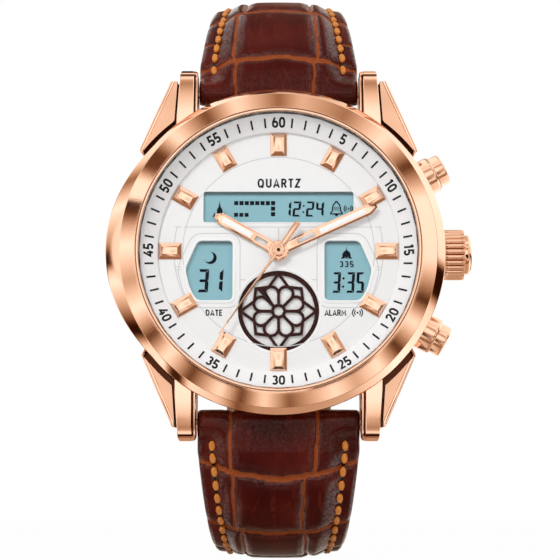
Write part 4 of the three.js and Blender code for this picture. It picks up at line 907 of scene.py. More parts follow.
dialSizes = {
    "radius": 17.25, "base": 7.9, "top": 8.4, "rimWidth": 0.4, "rimRise": 0.12,
    "upperWindow": (20.9, 4.32, 6.24, 0.35), "sideWindow": (6.55, 8.3, 9.66, -2.7, 0.7),
    "sideShares": [(-1, -1), (0.5, -1), (0.79, -0.61), (1, 0.05), (0.47, 1), (-1, 1)],
    "rosette": (-8.35, 5.6), "print": 0.02,
}
reliefSizes = {"width": 0.11, "rise": 0.012, "ring": 13.3, "outerArc": 14.5, "arcFoot": -6.5, "across": 3.4,
               "windowLine": 1.05}
# height, middle, spacing
wordSizes = {"QUARTZ": (1.26, (0.05, 9.6), 1.2), "DATE": (0.84, (-8.9, -8.6), 1.1),
             "ALARM": (0.84, (7.85, -8.6), 1.04)}


def upperWindow(grown=0):
    width, height, y, corner = dialSizes["upperWindow"]
    a, b = width / 2 + grown, height / 2 + grown
    return softened([(-a, y - b), (a, y - b), (a, y + b), (-a, y + b)], corner + grown, 6)


def sideWindow(side, grown=0):
    width, height, x, y, corner = dialSizes["sideWindow"]
    corners = [(side * (x + a * width / 2), y + b * height / 2) for a, b in dialSizes["sideShares"]]
    loop = counterClockwise(softened(corners, corner, 6))
    return insetLoop(loop, -grown) if grown else loop


def rosetteHole(grown):
    y, radius = dialSizes["rosette"]
    return circle(radius + grown, 160, (0, y))


def dialPlate():
    d = dialSizes
    levels = [(0, d["base"]), (0, d["top"])]
    return plate(circle(d["radius"], 256), [rosetteHole(0.02), upperWindow(), sideWindow(1), sideWindow(-1)],
                 levels, levels)


def dialRims():
    d = dialSizes
    base, top, high = d["base"], d["top"], d["top"] + d["rimRise"]
    low, lowRim = (0, top - 0.05), [(0, top - 0.05), (0, top + 0.01), (0.05, top + 0.05)]
    shape = Shape()
    for side in (1, -1):
        shape.merge(plate(sideWindow(side, d["rimWidth"]), [sideWindow(side, 0.01)],
                          [low, (0, high - 0.08), (0.03, high - 0.02), (0.09, high)],
                          [(0, base + 0.02), (0, high - 0.1), (0.03, high - 0.03), (0.08, high)]))
    shape.merge(plate(upperWindow(0.16), [upperWindow(0.01)], lowRim,
                      [(0, base + 0.02), (0, top + 0.02), (0.03, top + 0.05)]))
    return shape.merge(plate(
        rosetteHole(0.42), [rosetteHole(0.2)], lowRim,
        [(-0.18, base + 0.3), (-0.12, top - 0.1), (0.02, top + 0.03), (0.06, top + 0.05)]))


def reliefLines():
    # each line: its path, its share of the width, how far it stands over the lines that it crosses, closed
    r, top = reliefSizes, dialSizes["top"]
    across, radius = r["across"], r["outerArc"]
    ends = [math.asin(y / radius) for y in (across, r["arcFoot"])]
    lines = [(circle(r["ring"], 160), 1, 0, True), ([(0, across), (0, 1.6)], 1, 0, False)]
    for side in (1, -1):
        straight = [((13.1, across), (0.08, across), 1, 0.002), ((13.4, across), (14.4, across), 1, 0),
                    ((13.45, -2.2), (14.3, -2.2), 0.7, 0), ((13.45, -2.6), (14.3, -2.6), 0.7, 0),
                    ((4.6, -4.0), (5.4, -4.0), 1, 0)]
        lines += [([(side * x, y) for x, y in line[:2]], *line[2:], False) for line in straight]
        lines += [([(side * x, y) for x, y in arc((0, 0), radius, *ends, 20)], 1, 0, False),
                  (sideWindow(side, r["windowLine"]), 1, 0.004, True)]
    shape = Shape()
    for path, share, over, closed in lines:
        shape.merge(strip(path, r["width"] * share, top - 0.02, top + r["rise"] + over, closed))
    return shape


def waveIcon(x, y, size, levels, weight):
    shape = block(circle(size * 0.16, 16, (x, y)), levels)
    for side in (0, 180):
        for radius in (0.48, 0.82):
            path = bend(x, y, size * radius, size * radius, side - 50, side + 50, 10)
            shape.merge(strip(path, weight, *levels))
    return shape


def dialWords():
    levels = (dialSizes["top"] - 0.02, dialSizes["top"] + dialSizes["print"])
    shape = waveIcon(10.9, -8.6, 0.85, levels, 0.15)
    for word, (height, centre, spacing) in wordSizes.items():
        shape.merge(lettering(word, height, centre, levels, spacing=spacing))
    return shape


buildPiece("dial_plate", dialPlate(), "case", whiteDial, "white_lacquer", ["dial"])
for name, shape, finish in (("window_rims", dialRims(), whiteRim), ("dial_relief", reliefLines(), reliefGrey),
                            ("dial_print", dialWords(), dialInk)):
    buildPiece(name, shape, "case", finish, "white_lacquer")
print("dial plate, rims and print")

# Liquid crystal figures: seven segment digits, squares and small signs on the panel behind the windows

segmentLevels = [nodeHeights("lcd_panel")[1] + step for step in (-0.02, 0.02)]
segmentsOf = {"1": "bc", "2": "abged", "3": "abgcd", "4": "fgbc", "5": "afgcd"}
segmentSizes = {"slant": 0.06, "thin": 0.78, "gap": 0.08, "dot": 0.42, "narrow": 1.15, "colon": 1.5}
# digits: left, low, width, height, stroke, pitch; signs: middle, low, width, height
figurePlaces = {
    "12:24": (1.3, 4.97, 1.1, 2.14, 0.33, 1.36), "31": (-11.24, -5.68, 1.44, 3.24, 0.5, 2.85),
    "3:35": (7.42, -5.75, 1.1, 2.88, 0.4, 1.34), "tower": (-8.22, 4.93, 1.9, 2.2),
    "dome": (9.45, -0.95, 1.56, 1.62), "bell": (8.08, 5.16, 1.58, 1.95), "moon": (-9.45, -0.87, 0.86),
    "wave": (9.74, 6.1, 0.72),
}
squareSizes = {"side": 0.58, "pitch": 0.735, "row": 0.785, "left": -6.2, "top": 7.17, "count": 8,
               "foot": (4.94, 5.5)}
towerHalf = [(1, 0), (1, 0.14), (0.86, 0.14), (0.86, 0.42), (0.74, 0.42), (0.68, 0.2), (0.42, 0.24),
             (0.42, 0.66), (0.3, 0.9), (0.12, 1.08), (0.12, 1.3), (0.04, 1.36), (0.04, 1.62)]
domeHalf = [(0.18, 0), (0.18, 0.24), (0.3, 0.24), (0.3, 0), (1, 0), (0.9, 0.2), (0.72, 0.26), (0.76, 0.62),
            (0.6, 0.98), (0.36, 1.22), (0.1, 1.36), (0.1, 1.5), (0.04, 1.54), (0.04, 1.9)]
bellHalf = [(0, 1.62), (0.12, 1.6), (0.14, 1.46), (0.42, 1.28), (0.56, 0.96), (0.6, 0.5), (0.82, 0.3),
            (0.82, 0.16)]


def segmentDigit(digit, left, low, width, height, stroke):
    # each bar ends in mitres towards its neighbours
    d = segmentSizes
    thin, gap = stroke * d["thin"], stroke * d["gap"]
    right, high, middle = left + width, low + height, low + height / 2

    def level(y, inward):
        return [(left + gap, y), (right - gap, y), (right - gap - thin, y + inward * thin),
                (left + gap + thin * 0.4, y + inward * thin)]

    def upright(x, inward, corner, v):
        mitre, inner = corner - v * (thin + gap), x + inward * stroke
        return [(x, corner - v * gap), (x + inward * thin, mitre), (inner, mitre),
                (inner, middle + v * (thin / 2 + gap)), (x + inward * thin / 2, middle + v * gap),
                (x, middle + v * (gap + thin * 0.25))]

    a, b = left + thin * 0.3, right - thin * 0.3
    bars = {
        "a": level(high, -1), "d": level(low, 1),
        "g": [(a, middle), (a + thin / 2, middle + thin / 2), (b - thin / 2, middle + thin / 2),
              (b, middle), (b - thin / 2, middle - thin / 2), (a + thin / 2, middle - thin / 2)],
        "f": upright(left, 1, high, 1), "b": upright(right, -1, high, 1),
        "e": upright(left, 1, low, -1), "c": upright(right, -1, low, -1)}
    shape = Shape()
    for name in segmentsOf[digit]:
        shape.merge(block([(x + (y - low) * d["slant"], y) for x, y in bars[name]], segmentLevels))
    return shape


def segmentText(text):
    left, low, width, height, stroke, pitch = figurePlaces[text]
    d, shape = segmentSizes, Shape()
    for c in text:
        narrow = stroke * d["narrow"]
        if c == ":":
            for y in (0.3, 0.7):
                at = (left + stroke * 0.55 + height * (y - 0.5) * d["slant"], low + height * y)
                shape.merge(block(circle(stroke * d["dot"], 12, at), segmentLevels))
            left += stroke * d["colon"]
        elif c == "1":
            shape.merge(segmentDigit(c, left - width + narrow, low, width, height, stroke))
            left += narrow + pitch - width
        else:
            shape.merge(segmentDigit(c, left, low, width, height, stroke))
            left += pitch
    return shape


def signOutline(name, half):
    # the right half of an outline and its mirror image, fitted into the sign's place
    x, low, width, height = figurePlaces[name]
    wide, tall = max(a for a, b in half), max(b for a, b in half)
    return [(x + a / wide * width / 2, low + b / tall * height) for a, b in mirrored(half)]


def moonSign():
    x, y, size = figurePlaces["moon"]
    outer = arc((x, y), size, math.radians(-170), math.radians(100), 24)
    centre, radius = (x - size * 0.38, y + size * 0.22), size * 0.86
    ends = [math.atan2(p[1] - centre[1], p[0] - centre[0]) for p in (outer[-1], outer[0])]
    return block(outer + arc(centre, radius, *ends, 24)[1:-1], segmentLevels)


def bellSign():
    x, low, width, height = figurePlaces["bell"]
    base, top = segmentLevels
    shape = strip(signOutline("bell", bellHalf), 0.17, base, top, True)
    for level in (0.62, 0.78, 0.94):
        y = low + height * level / bellHalf[0][1]
        shape.merge(strip([(x - width * 0.27, y), (x + width * 0.27, y)], 0.07, base, top - 0.002))
    return shape.merge(block(arc((x, low + height * 0.07), width * 0.16, math.pi, turn, 10), segmentLevels))


def squares():
    # a row of squares with two more under its end, and three feet below
    q, shape = squareSizes, Shape()
    side, top = q["side"], q["top"]
    places = [(k, top - side, top, 1) for k in range(q["count"])]
    places += [(q["count"] - 1, top - row * q["row"] - side, top - row * q["row"], 1) for row in (1, 2)]
    places += [(k, *q["foot"], 0.95) for k in range(3)]
    for column, low, high, share in places:
        left = q["left"] + column * q["pitch"]
        right = left + side * share
        shape.merge(block([(left, low), (right, low), (right, high), (left, high)], segmentLevels))
    return shape


def upperFigures():
    shape = block(signOutline("tower", towerHalf), segmentLevels)
    for part in (squares(), segmentText("12:24"), bellSign(),
                 waveIcon(*figurePlaces["wave"], segmentLevels, 0.14)):
        shape.merge(part)
    return shape


def sideFigures():
    shape = block(signOutline("dome", domeHalf), segmentLevels)
    for part in (moonSign(), segmentText("31"), segmentText("3:35"),
                 lettering("335", 0.84, (9.45, -1.74), segmentLevels, spacing=1.42, wide=1.2)):
        shape.merge(part)
    return shape


buildPiece("upper_figures", upperFigures(), "case", displayInk, "display")
buildPiece("side_figures", sideFigures(), "case", displayInk, "display")
print("display figures")

# Hour markers: twelve bevelled bars

markerSizes = {"Count": 12, "Inner Radius": 13.45, "Outer Radius": 16.65, "Width": 2.3, "Base": 8.38,
               "Foot": 0.14, "Top": 8.9, "Side Bevel": 0.66, "End Bevel": 0.6}


def hourMarkers():
    grow = Growth("hour_markers", markerSizes)
    size = grow.size
    length, base, foot = size("Outer Radius") - size("Inner Radius"), size("Base"), size("Foot")
    bar = grow.cube(size("Width"), length, 1.0, levels=3)
    x, y, z = grow.position()
    atTop, overFoot = z.maths("GREATER_THAN", 0.25), z.maths("GREATER_THAN", -0.25)
    shaped = grow.placed(bar, Position=grow.joined(
        x * (1 - atTop * (size("Side Bevel") * 2 / size("Width"))),
        y * (1 - atTop * (size("End Bevel") * 2 / length)),
        base + overFoot * foot + atTop * (size("Top") - base - foot)))
    points = grow.ring(size("Count"), (size("Outer Radius") + size("Inner Radius")) / 2)
    spread = grow.spread(points, shaped, grow.joined(0, 0, grow.roundAngle(size("Count"))))
    names = [f"hour_marker_{hour:02d}" for hour in range(1, 13)]
    return grow.piece(spread, polished, "case", "rose_gold", names)


markers = hourMarkers()
finishMesh(markers.data)
bevelled(markers, 0.045, angle=25)
print("hour markers")

# Hands: bars with wide edges, a pocket for the luminous paint and an open slot towards the hub

handSizes = {
    "hour": {"length": 10.1, "width": 1.6, "clock": 299.6, "low": 8.75, "high": 8.95, "hub": 1.45},
    "minute": {"length": 15.0, "width": 1.5, "clock": 65.4, "low": 9.15, "high": 9.37, "hub": 1.36},
    "second": {"length": 14.2, "width": 0.42, "clock": 215.0, "low": 9.6, "high": 9.77, "hub": 0.85,
               "tail": 4.75, "tailWidth": 0.8},
    "start": 0.4, "shoulder": 0.92, "tipShare": 0.3, "lume": (0.42, 0.87, 0.9), "slot": (0.19, 0.37),
    "pocketShare": 0.5, "edge": 0.27, "foot": 0.05,
}


def handPlace(shape, hand):
    return Shape().merge(shape, Matrix.Rotation(math.radians(-hand["clock"]), 4, "Z"))


def bar(name):
    h, s = handSizes[name], handSizes
    half, length, low, high = h["width"] / 2, h["length"], h["low"], h["high"]
    inner = half * s["pocketShare"]
    outline = mirrored([(half, s["start"]), (half, length * s["shoulder"]), (half * s["tipShare"], length)])
    start, side, tip = (length * share for share in s["lume"])
    pocket = softened(mirrored([(inner, start), (inner, side), (0, tip)]), 0.12, 3)
    slot = softened(mirrored([(inner, length * share) for share in s["slot"]]), 0.06, 2)
    metal = plate(outline, [pocket, slot],
                  [(0, low), (0, low + s["foot"]), (s["edge"] - 0.02, high - 0.004), (s["edge"], high)],
                  [(0, low), (0, high - 0.02), (-0.02, high)])
    metal.merge(lathe(softened([(0.3, low), (h["hub"], low), (h["hub"], high - 0.03),
                                (h["hub"] - 0.2, high + 0.03), (0.3, high + 0.03)], 0.05, 3), 96))
    paint = plate(insetLoop(pocket, 0.01), [],
                  [(0, low + 0.02), (0, high - 0.005), (0.06, high + 0.015)])
    return handPlace(metal, h), handPlace(paint, h)


def secondHand():
    h = handSizes["second"]
    low, high, hub, half, tail = h["low"], h["high"], h["hub"], h["width"] / 2, h["tailWidth"] / 2
    needle = mirrored([(half, -0.5), (half, 0.5), (half * 0.44, h["length"])])
    shape = plate(needle, [], [(0, low), (0, low + 0.05), (0.06, high - 0.02), (0.14, high)])
    shape.merge(plate(mirrored([(tail, -h["tail"]), (tail, -0.5)]), [],
                      [(0, low - 0.02), (0, low + 0.08), (0.12, high + 0.03), (0.28, high + 0.08)]))
    shape.merge(lathe(softened([(0.16, low), (hub, low), (hub, high), (hub - 0.12, high + 0.1),
                                (hub - 0.3, high + 0.1), (hub - 0.36, high + 0.04),
                                (0.3, high + 0.04), (0.16, high + 0.1)], 0.04, 3), 96))
    return handPlace(shape, h)


for name in ("hour", "minute"):
    metal, paint = bar(name)
    body = name + "_hand_set"
    buildPiece(name + "_hand_bar", metal, body, polished, "rose_gold", [name + "_hand"], 20)
    buildPiece(name + "_hand_paint", paint, body, lume, "luminous_paint", [name + "_hand_lume"])
buildPiece("second_hand_needle", secondHand(), "second_hand_set", polished, "rose_gold", ["second_hand"], 20)
print("hands")

# Strap: two padded halves of embossed leather, each laid along a path that curls behind the case

strapSizes = {
    "upper": {"length": 75, "straight": 0, "bend": 16.5, "start": 4, "end": 180, "side": 1,
              "rise": (2.2, 0.5), "rows": 260},
    "lower": {"length": 115, "straight": 5, "bend": 13.5, "start": 8, "end": 179.6, "side": -1,
              "rise": (1.9, 0.3), "rows": 400},
    "bar": (23.35, 3.6), "roll": (222, 94), "endRadius": 2.4, "thick": 3.1, "thin": 1.2, "thinFrom": (4, 45),
    "lining": (1.3, 1.2), "width": (22.56, 18.2), "taper": (4.0, 23.0), "edgeRound": 0.7, "tip": 9,
    "tipWidth": 4, "flange": 3.1, "flangeFrom": 1.2, "flangeCorner": 1.8, "crown": 0.42, "holes": 7,
    "holeFrom": 14, "holeStep": 6.5, "holeRadius": 0.9, "columns": 96, "relief": 0.26, "valley": 0.24,
}
stitchSizes = {"Length": 1.46, "Width": 0.82, "Height": 0.72, "Twist": 3.2, "Strand Depth": 0.12,
               "inset": 2.05, "first": 3.2, "pitch": 1.73, "end": {"upper": 66, "lower": 108}}
# embossed scales: lines across as (s at the middle, s at the edge, width), then between each two of them
# the two lines along as (start, end) in half widths, and short lines in from the edges as (s, side)
scaleLines = {
    "upper": {
        "across": [(4.4, 3.05, 0.36), (14.0, 12.6, 0.5), (22.6, 19.6, 0.3), (30.6, 28.0, 0.3),
                   (38.4, 36.0, 0.3), (46.0, 44.0, 0.28), (53.4, 51.6, 0.28), (60.6, 59.2, 0.26)],
        "along": [((-0.55, -0.545), (0.44, 0.45)), ((-0.57, -0.58), (0.5, 0.51)),
                  ((-0.5, -0.46), (0.46, 0.5)), ((-0.56, -0.5), (0.5, 0.56)), ((-0.46, -0.54), (0.55, 0.5)),
                  ((-0.56, -0.5), (0.48, 0.52)), ((-0.5, -0.55), (0.56, 0.5)), ((-0.52, -0.5), (0.5, 0.54))],
        "edge": [(7.6, -1), (7.6, 1), (17.5, -1), (25.5, 1), (33.0, -1), (34.5, 1)],
    },
    "lower": {
        "across": [(7.25, 5.3, 0.4), (15.0, 14.1, 0.36), (22.2, 20.6, 0.3), (29.4, 27.6, 0.3),
                   (36.8, 35.2, 0.3), (44.2, 42.6, 0.28), (51.8, 50.4, 0.28), (59.2, 58.0, 0.26),
                   (66.4, 65.2, 0.24), (73.4, 72.4, 0.22), (80.2, 79.2, 0.22), (86.8, 86.0, 0.22),
                   (93.2, 92.4, 0.22), (99.4, 98.8, 0.22)],
        "along": [((-0.59, -0.6), (0.5, 0.45)), ((-0.586, -0.603), (0.33, 0.32)),
                  ((-0.52, -0.5), (0.38, 0.41)), ((-0.55, -0.5), (0.5, 0.42)), ((-0.45, -0.52), (0.56, 0.5)),
                  ((-0.54, -0.5), (0.4, 0.46)), ((-0.48, -0.55), (0.52, 0.5)), ((-0.56, -0.52), (0.45, 0.5)),
                  ((-0.5, -0.56), (0.54, 0.5))],
        "edge": [(24.0, 1), (32.0, -1), (40.5, 1), (48.0, -1)],
    },
}


def strapPoint(half, s):
    # the path's place and heading: straight, then round a bend, then round a wider curve to the end
    q = strapSizes[half]
    out, up = strapSizes["bar"]
    heading = math.radians(q["start"])
    bendLength = q["bend"] * (turn / 4 - heading)
    rest = q["length"] - q["straight"] - bendLength
    curve = rest / (math.radians(q["end"]) - turn / 4)
    step = min(s, q["straight"])
    out, up, s = out + step * math.cos(heading), up - step * math.sin(heading), s - step
    for radius, run in ((q["bend"], bendLength), (curve, rest)):
        step = min(s, run)
        if step > 0:
            ahead = heading + step / radius
            out += radius * (math.sin(ahead) - math.sin(heading))
            up += radius * (math.cos(ahead) - math.cos(heading))
            heading, s = ahead, s - step
    return out, up, heading


def strapPlace(half, s, u, t):
    # a point of the strap: s along it, u across it, t outwards from its path
    out, up, heading = strapPoint(half, s)
    side = strapSizes[half]["side"]
    return Vector((u * side, (out + t * math.sin(heading)) * side, up + t * math.cos(heading)))


def halfWidth(half, s):
    q = strapSizes
    start, end = q["taper"]
    wide = mix(*q["width"], np.clip((s - start) / (end - start), 0, 1)) / 2
    if half == "lower":
        past = np.clip((s - q[half]["length"] + q["tip"]) / q["tip"], 0, 1)
        wide = mix(q["tipWidth"] / 2, wide, np.sqrt(1 - past ** 2.4))
    return wide


def thinned(s):
    start, end = strapSizes["thinFrom"]
    return np.clip((s - start) / (end - start), 0, 1)


def outerThickness(s):
    q = strapSizes
    start = q["thinFrom"][0]
    return np.where(s < start, mix(q["endRadius"], q["thick"], np.clip(s / start, 0, 1)),
                    mix(q["thick"], q["thin"], thinned(s) ** 1.6))


def line(distance, wide):
    return 1 - smoothStep(distance, wide * 0.45, wide * 1.2)


def scaleRelief(half, s, share):
    # the embossed lines, 0 to 1, and the soft valley round them
    q = scaleLines[half]
    share = share * strapSizes[half]["side"]
    widest = strapSizes["width"][1] / 2
    u = share * widest
    lined, valley = np.zeros_like(u + s), np.zeros_like(u + s)
    wobble = 0.07 * np.sin(u * 1.1 + s * 0.2) + 0.03 * np.sin(u * 3.1)
    bow = np.abs(share) ** 1.7
    for middle, edge, wide in q["across"]:
        away = np.abs(s - mix(middle, edge, bow) - wobble)
        swell = wide * (1.05 - 0.3 * bow + 0.12 * np.sin(u * 0.9 + middle))
        lined = np.maximum(lined, line(away, swell))
        valley = np.maximum(valley, 1 - smoothStep(away, 0, 1.5))
    borders = [mix(middle, edge, bow) for middle, edge in [(-3, -3)] + [entry[:2] for entry in q["across"]]]
    for low, high, pair in zip(borders, borders[1:], q["along"]):
        inside = smoothStep(s, low - 0.3, low) * (1 - smoothStep(s, high, high + 0.3))
        for a, b in pair:
            at = mix(a, b, np.clip((s - low) / (high - low), 0, 1)) + 0.006 * np.sin(s * 1.7 + a * 9)
            away = np.abs(share - at) * widest
            lined = np.maximum(lined, line(away, 0.23) * inside)
            valley = np.maximum(valley, (1 - smoothStep(away, 0, 1.3)) * inside)
    for at, side in q["edge"]:
        lined = np.maximum(lined, line(np.abs(s - at - wobble), 0.24) * smoothStep(share * side, 0.74, 0.8))
    return lined, valley


def strapSurface(half, s, share):
    # outer surface above the path, the embossed lines and the pricked holes of the seam
    q, t = strapSizes, stitchSizes
    fromEdge = halfWidth(half, s) * (1 - np.abs(share))
    crown = q["crown"] * np.abs(share) ** 2.2 * (0.25 + 0.75 * smoothStep(s, 2.0, 8.0))
    # the sewn flange round the padded middle, with a round corner where it starts
    corner = q["flangeCorner"]
    a, b = np.maximum(fromEdge - q["flange"] + corner, 0), np.maximum(q["flangeFrom"] + corner - s, 0)
    step = 1 - smoothStep(np.sqrt(a ** 2 + b ** 2) - corner, -1.1, 1.5)
    rise = mix(*q[half]["rise"], thinned(s))
    height = outerThickness(s) - rise * (crown + 0.5 * step * smoothStep(s, 0.4, 2.0))
    # the seam lies in a shallow groove, with a hole at the end of each stitch
    first, end, pitch = t["first"], t["end"][half], t["pitch"]
    groove = np.exp(-((fromEdge - t["inset"]) / 0.38) ** 2)
    groove = groove * smoothStep(s, first - 1.3, first - 0.3) * (1 - smoothStep(s, end, end + 1))
    phase = (s - first) / pitch + 0.5
    pricked = groove * np.exp(-((phase - np.round(phase)) * pitch / 0.27) ** 2)
    lined, valley = scaleRelief(half, s, share)
    soften = mix(1, 0.5, np.clip((s - 30) / 40, 0, 1))
    height = height - 0.16 * groove - 0.14 * pricked - (q["relief"] * lined + q["valley"] * valley) * soften
    rolled = np.clip(1 - fromEdge / q["edgeRound"], 0, 1)
    return height - 0.8 * (1 - np.sqrt(1 - rolled ** 2)), lined, pricked


leatherMarks = ("embossed", "lining", "pricked", "sloped")


def leatherShape(points, faces, marks):
    return Shape().add(points, faces, **dict(zip(leatherMarks, zip(*marks))))


def strapHalf(half):
    q, side = strapSizes, strapSizes[half]["side"]
    spread = np.linspace(-1, 1, q["columns"])
    share = np.sign(spread) * (1 - (1 - np.abs(spread)) ** 1.3)
    under = [0.996, 0.975, 0.93, 0.75, 0.5, 0.25, 0, -0.25, -0.5, -0.75, -0.93, -0.975, -0.996]
    lift = [0.5, 0.18, 0.03] + [0] * 7 + [0.03, 0.18, 0.5]
    along = np.linspace(0, q[half]["length"], q[half]["rows"])
    tall, lined, pricked = strapSurface(half, along[:, None], share[None, :])
    across = np.gradient(share)[None, :] * halfWidth(half, along)[:, None]
    slopes = np.hypot(np.gradient(tall, axis=1) / across, np.gradient(tall, along, axis=0))
    sloped = smoothStep(slopes, 0.06, 0.42)
    out0, up0 = strapPoint(half, 0)[:2]
    points, marks = [], []

    def rolled(u, reach, angle):
        return u * side, (out0 + reach * math.cos(angle)) * side, up0 + reach * math.sin(angle)

    # the roll over the spring bar sweeps from the lining up to the outer side
    wide, lining = float(halfWidth(half, 0)), q["lining"][0]
    turns = [math.radians(mix(*q["roll"], k / 11)) for k in range(12)]
    for angle in turns:
        for k, v in enumerate(share):
            reach = mix(lining, tall[0, k], smoothStep(angle, turns[0], turns[-1]))
            points.append(rolled(v * wide, reach, angle))
            marks.append((lined[0, k], 0, 0, 0.5))
        for v, raised in zip(under, lift):
            points.append(rolled(v * wide, lining - raised * 0.5, mix(angle, turn * 0.75, 0.94)))
            marks.append((0, 1, 0, 0))
    for i, s in enumerate(along):
        wide, inner = halfWidth(half, s), mix(*q["lining"], thinned(s))
        for k, v in enumerate(share):
            points.append(strapPlace(half, s, v * wide, tall[i, k]))
            marks.append((lined[i, k], 0, pricked[i, k], sloped[i, k]))
        for v, raised in zip(under, lift):
            points.append(strapPlace(half, s, v * wide, raised - inner))
            marks.append((0, 1, 0, 0))
    count = len(share) + len(under)
    rows = len(points) // count
    faces = gridFaces(rows, count)
    for start in (0, (rows - 1) * count):
        # the ends close in quads between the outer side and the lining
        outerRow = [start + i for i in range(len(share))]
        underRow = [start + len(share) + i for i in range(len(under))][::-1]
        k = 0
        for i in range(len(outerRow) - 1):
            want = round((i + 1) * (len(underRow) - 1) / (len(outerRow) - 1))
            faces.append([outerRow[i], outerRow[i + 1]] + [underRow[j] for j in range(want, k - 1, -1)])
            k = want
    return leatherShape(points, faces, marks)


def leatherFinish(name):
    made = Finish(name)
    place = made.place()
    lined, lining, pricked, sloped = (made.attribute(mark) for mark in leatherMarks)
    cloud, fine = made.noise(place, 150), made.noise(place, 3400)
    pebbles = made.cells(place, 2300, "SMOOTH_F1")
    creases = made.noise(made.stretched(place, (3.0, 0.8, 0.8)), 260, 4, 0.6, 0.5)
    red = cloud.colours((0.3, (0.034, 0.0012, 0.0008)), (0.5, (0.058, 0.003, 0.0016)),
                        (0.74, (0.1, 0.009, 0.004)))
    worn = made.blend(creases.between(0.56, 0.75) * 0.5, red, (0.18, 0.022, 0.01))
    seam = made.blend(fine, (0.21, 0.036, 0.008), (0.36, 0.085, 0.02))
    outer = made.blend(lined.between(0.2, 0.8), worn, seam)
    # the stitch holes are darkened almost to black: painted shade
    dark = made.blend(pricked.between(0.25, 0.7), outer, (0.012, 0.003, 0.002))
    colour = made.blend(lining, dark, made.blend(fine, (0.2, 0.1, 0.055), (0.3, 0.16, 0.09)))
    height = pebbles * 0.45 + creases.between(0.5, 0.72) + fine * 0.25
    rough = fine * 0.14 + lining * 0.3 + lined * 0.08 + 0.28
    # the slopes of the scales are burnished, and the grain breaks their sheen
    grain = fine.between(0.36, 0.66) * 0.75 + pebbles.between(0.1, 0.5) * 0.35
    shine = (sloped * (1 - lined) * 0.95 + 0.05) * grain
    return made.surface(baseColor=colour, roughness=rough, specularIORLevel=0.08, coatWeight=shine,
                        coatRoughness=0.22, normal=made.bump(height, 0.00005, 0.6))


def threadFinish(name):
    made = Finish(name)
    strands, cloud = made.noise(made.place(), 5200, 2), made.noise(made.place(), 700, 2)
    shade = made.blend(strands, (0.46, 0.12, 0.012), (0.85, 0.33, 0.055))
    tone = made.blend(cloud * 0.35, shade, (0.5, 0.14, 0.02))
    return made.surface(baseColor=tone, roughness=strands * 0.2 + 0.42,
                        normal=made.bump(strands, 0.00005, 0.7))


leather, thread = leatherFinish("padded_leather"), threadFinish("waxed_thread")


def tongueHoles():
    q, cutter, reach = strapSizes, Shape(), 3
    outline = circle(q["holeRadius"], 32)
    for k in range(q["holes"]):
        s = q["lower"]["length"] - q["holeFrom"] - k * q["holeStep"]
        points = [strapPlace("lower", s + b, a, t) for t in (-reach, reach) for a, b in outline]
        cutter.add(points, gridFaces(2, len(outline), capped=True))
    return meshPiece("cutter", cutter)


def strapPiece(half, body, replaced):
    piece = meshPiece("strap_leather_" + half, strapHalf(half), 60)
    if half == "lower":
        cutter = tongueHoles()
        cut = piece.modifiers.new("holes", "BOOLEAN")
        cut.operation, cut.solver, cut.object = "DIFFERENCE", "MANIFOLD", cutter
        applied(piece)
        bpy.data.objects.remove(cutter)
    settle(piece, body, leather, "strap_leather", [replaced])


def stitchPlaces(half):
    # a point for each stitch, and how it is turned to lie along the seam
    t = stitchSizes

    def seamPoint(s, side, tall):
        return strapPlace(half, s, side * (halfWidth(half, s) - t["inset"]), tall)

    points, turns = [], []
    for k in range(int((t["end"][half] - t["first"]) / t["pitch"]) + 1):
        s = t["first"] + k * t["pitch"]
        for side in (-1, 1):
            share = side * (1 - t["inset"] / halfWidth(half, s))
            tall = strapSurface(half, np.array([s]), np.array([share]))[0][0]
            points.append(seamPoint(s, side, tall + 0.12))
            along = (seamPoint(s + 0.4, side, tall) - seamPoint(s - 0.4, side, tall)).normalized()
            across = along.cross(seamPoint(s, side, 1) - seamPoint(s, side, 0)).normalized()
            turns.append(Matrix((across, along, across.cross(along))).transposed().to_euler())
    start = bpy.data.meshes.new("seam_" + half)
    start.from_pydata(points, [], [])
    start.attributes.new("facing", "FLOAT_VECTOR", "POINT").data.foreach_set(
        "vector", [value for angles in turns for value in angles])
    return start


def stitches(half, body):
    grow = Growth("stitches_" + half, stitchSizes)
    size = grow.size
    ball = grow.node("GeometryNodeMeshUVSphere", inputs={"Segments": 16, "Rings": 11, "Radius": 1.0})
    x, y, z = grow.position()
    # two strands twisted round each other along the stitch
    around = z.maths("ARCTAN2", x)
    swell = 1 + size("Strand Depth") * ((around * 2 + y * size("Twist")).maths("COSINE"))
    full = swell * (1 + y * y) ** 0.5
    shaped = grow.placed(ball, Position=grow.joined(
        x * full * (size("Width") / 2), y * (size("Length") / 2), z * full * (size("Height") / 2)))
    facing = grow.node("GeometryNodeInputNamedAttribute", {"data_type": "FLOAT_VECTOR"}, {"Name": "facing"})
    spread = grow.spread(grow.size("Geometry"), shaped, facing)
    piece = grow.piece(spread, thread, body, "strap_leather", start=stitchPlaces(half))
    piece.data.shade_smooth()


strapPiece("upper", "strap_12", "strap_upper")
strapPiece("lower", "strap_6", "strap_lower")
stitches("upper", "strap_12")
stitches("lower", "strap_6")
print("strap halves and stitches")

# Crown: rounded ridges round a turned core, with a domed boss

crownSizes = {"Base": 23.25, "Length": 2.65, "Radius": 3.55, "Ridges": 26, "Ridge Radius": 0.35,
              "Chamfer": 0.4, "height": 4.875, "core": 3.24, "boss": 2.77, "end": 27.05, "bore": 1.55,
              "boreEnd": 24.95, "round": 0.32, "ring": 2.2}


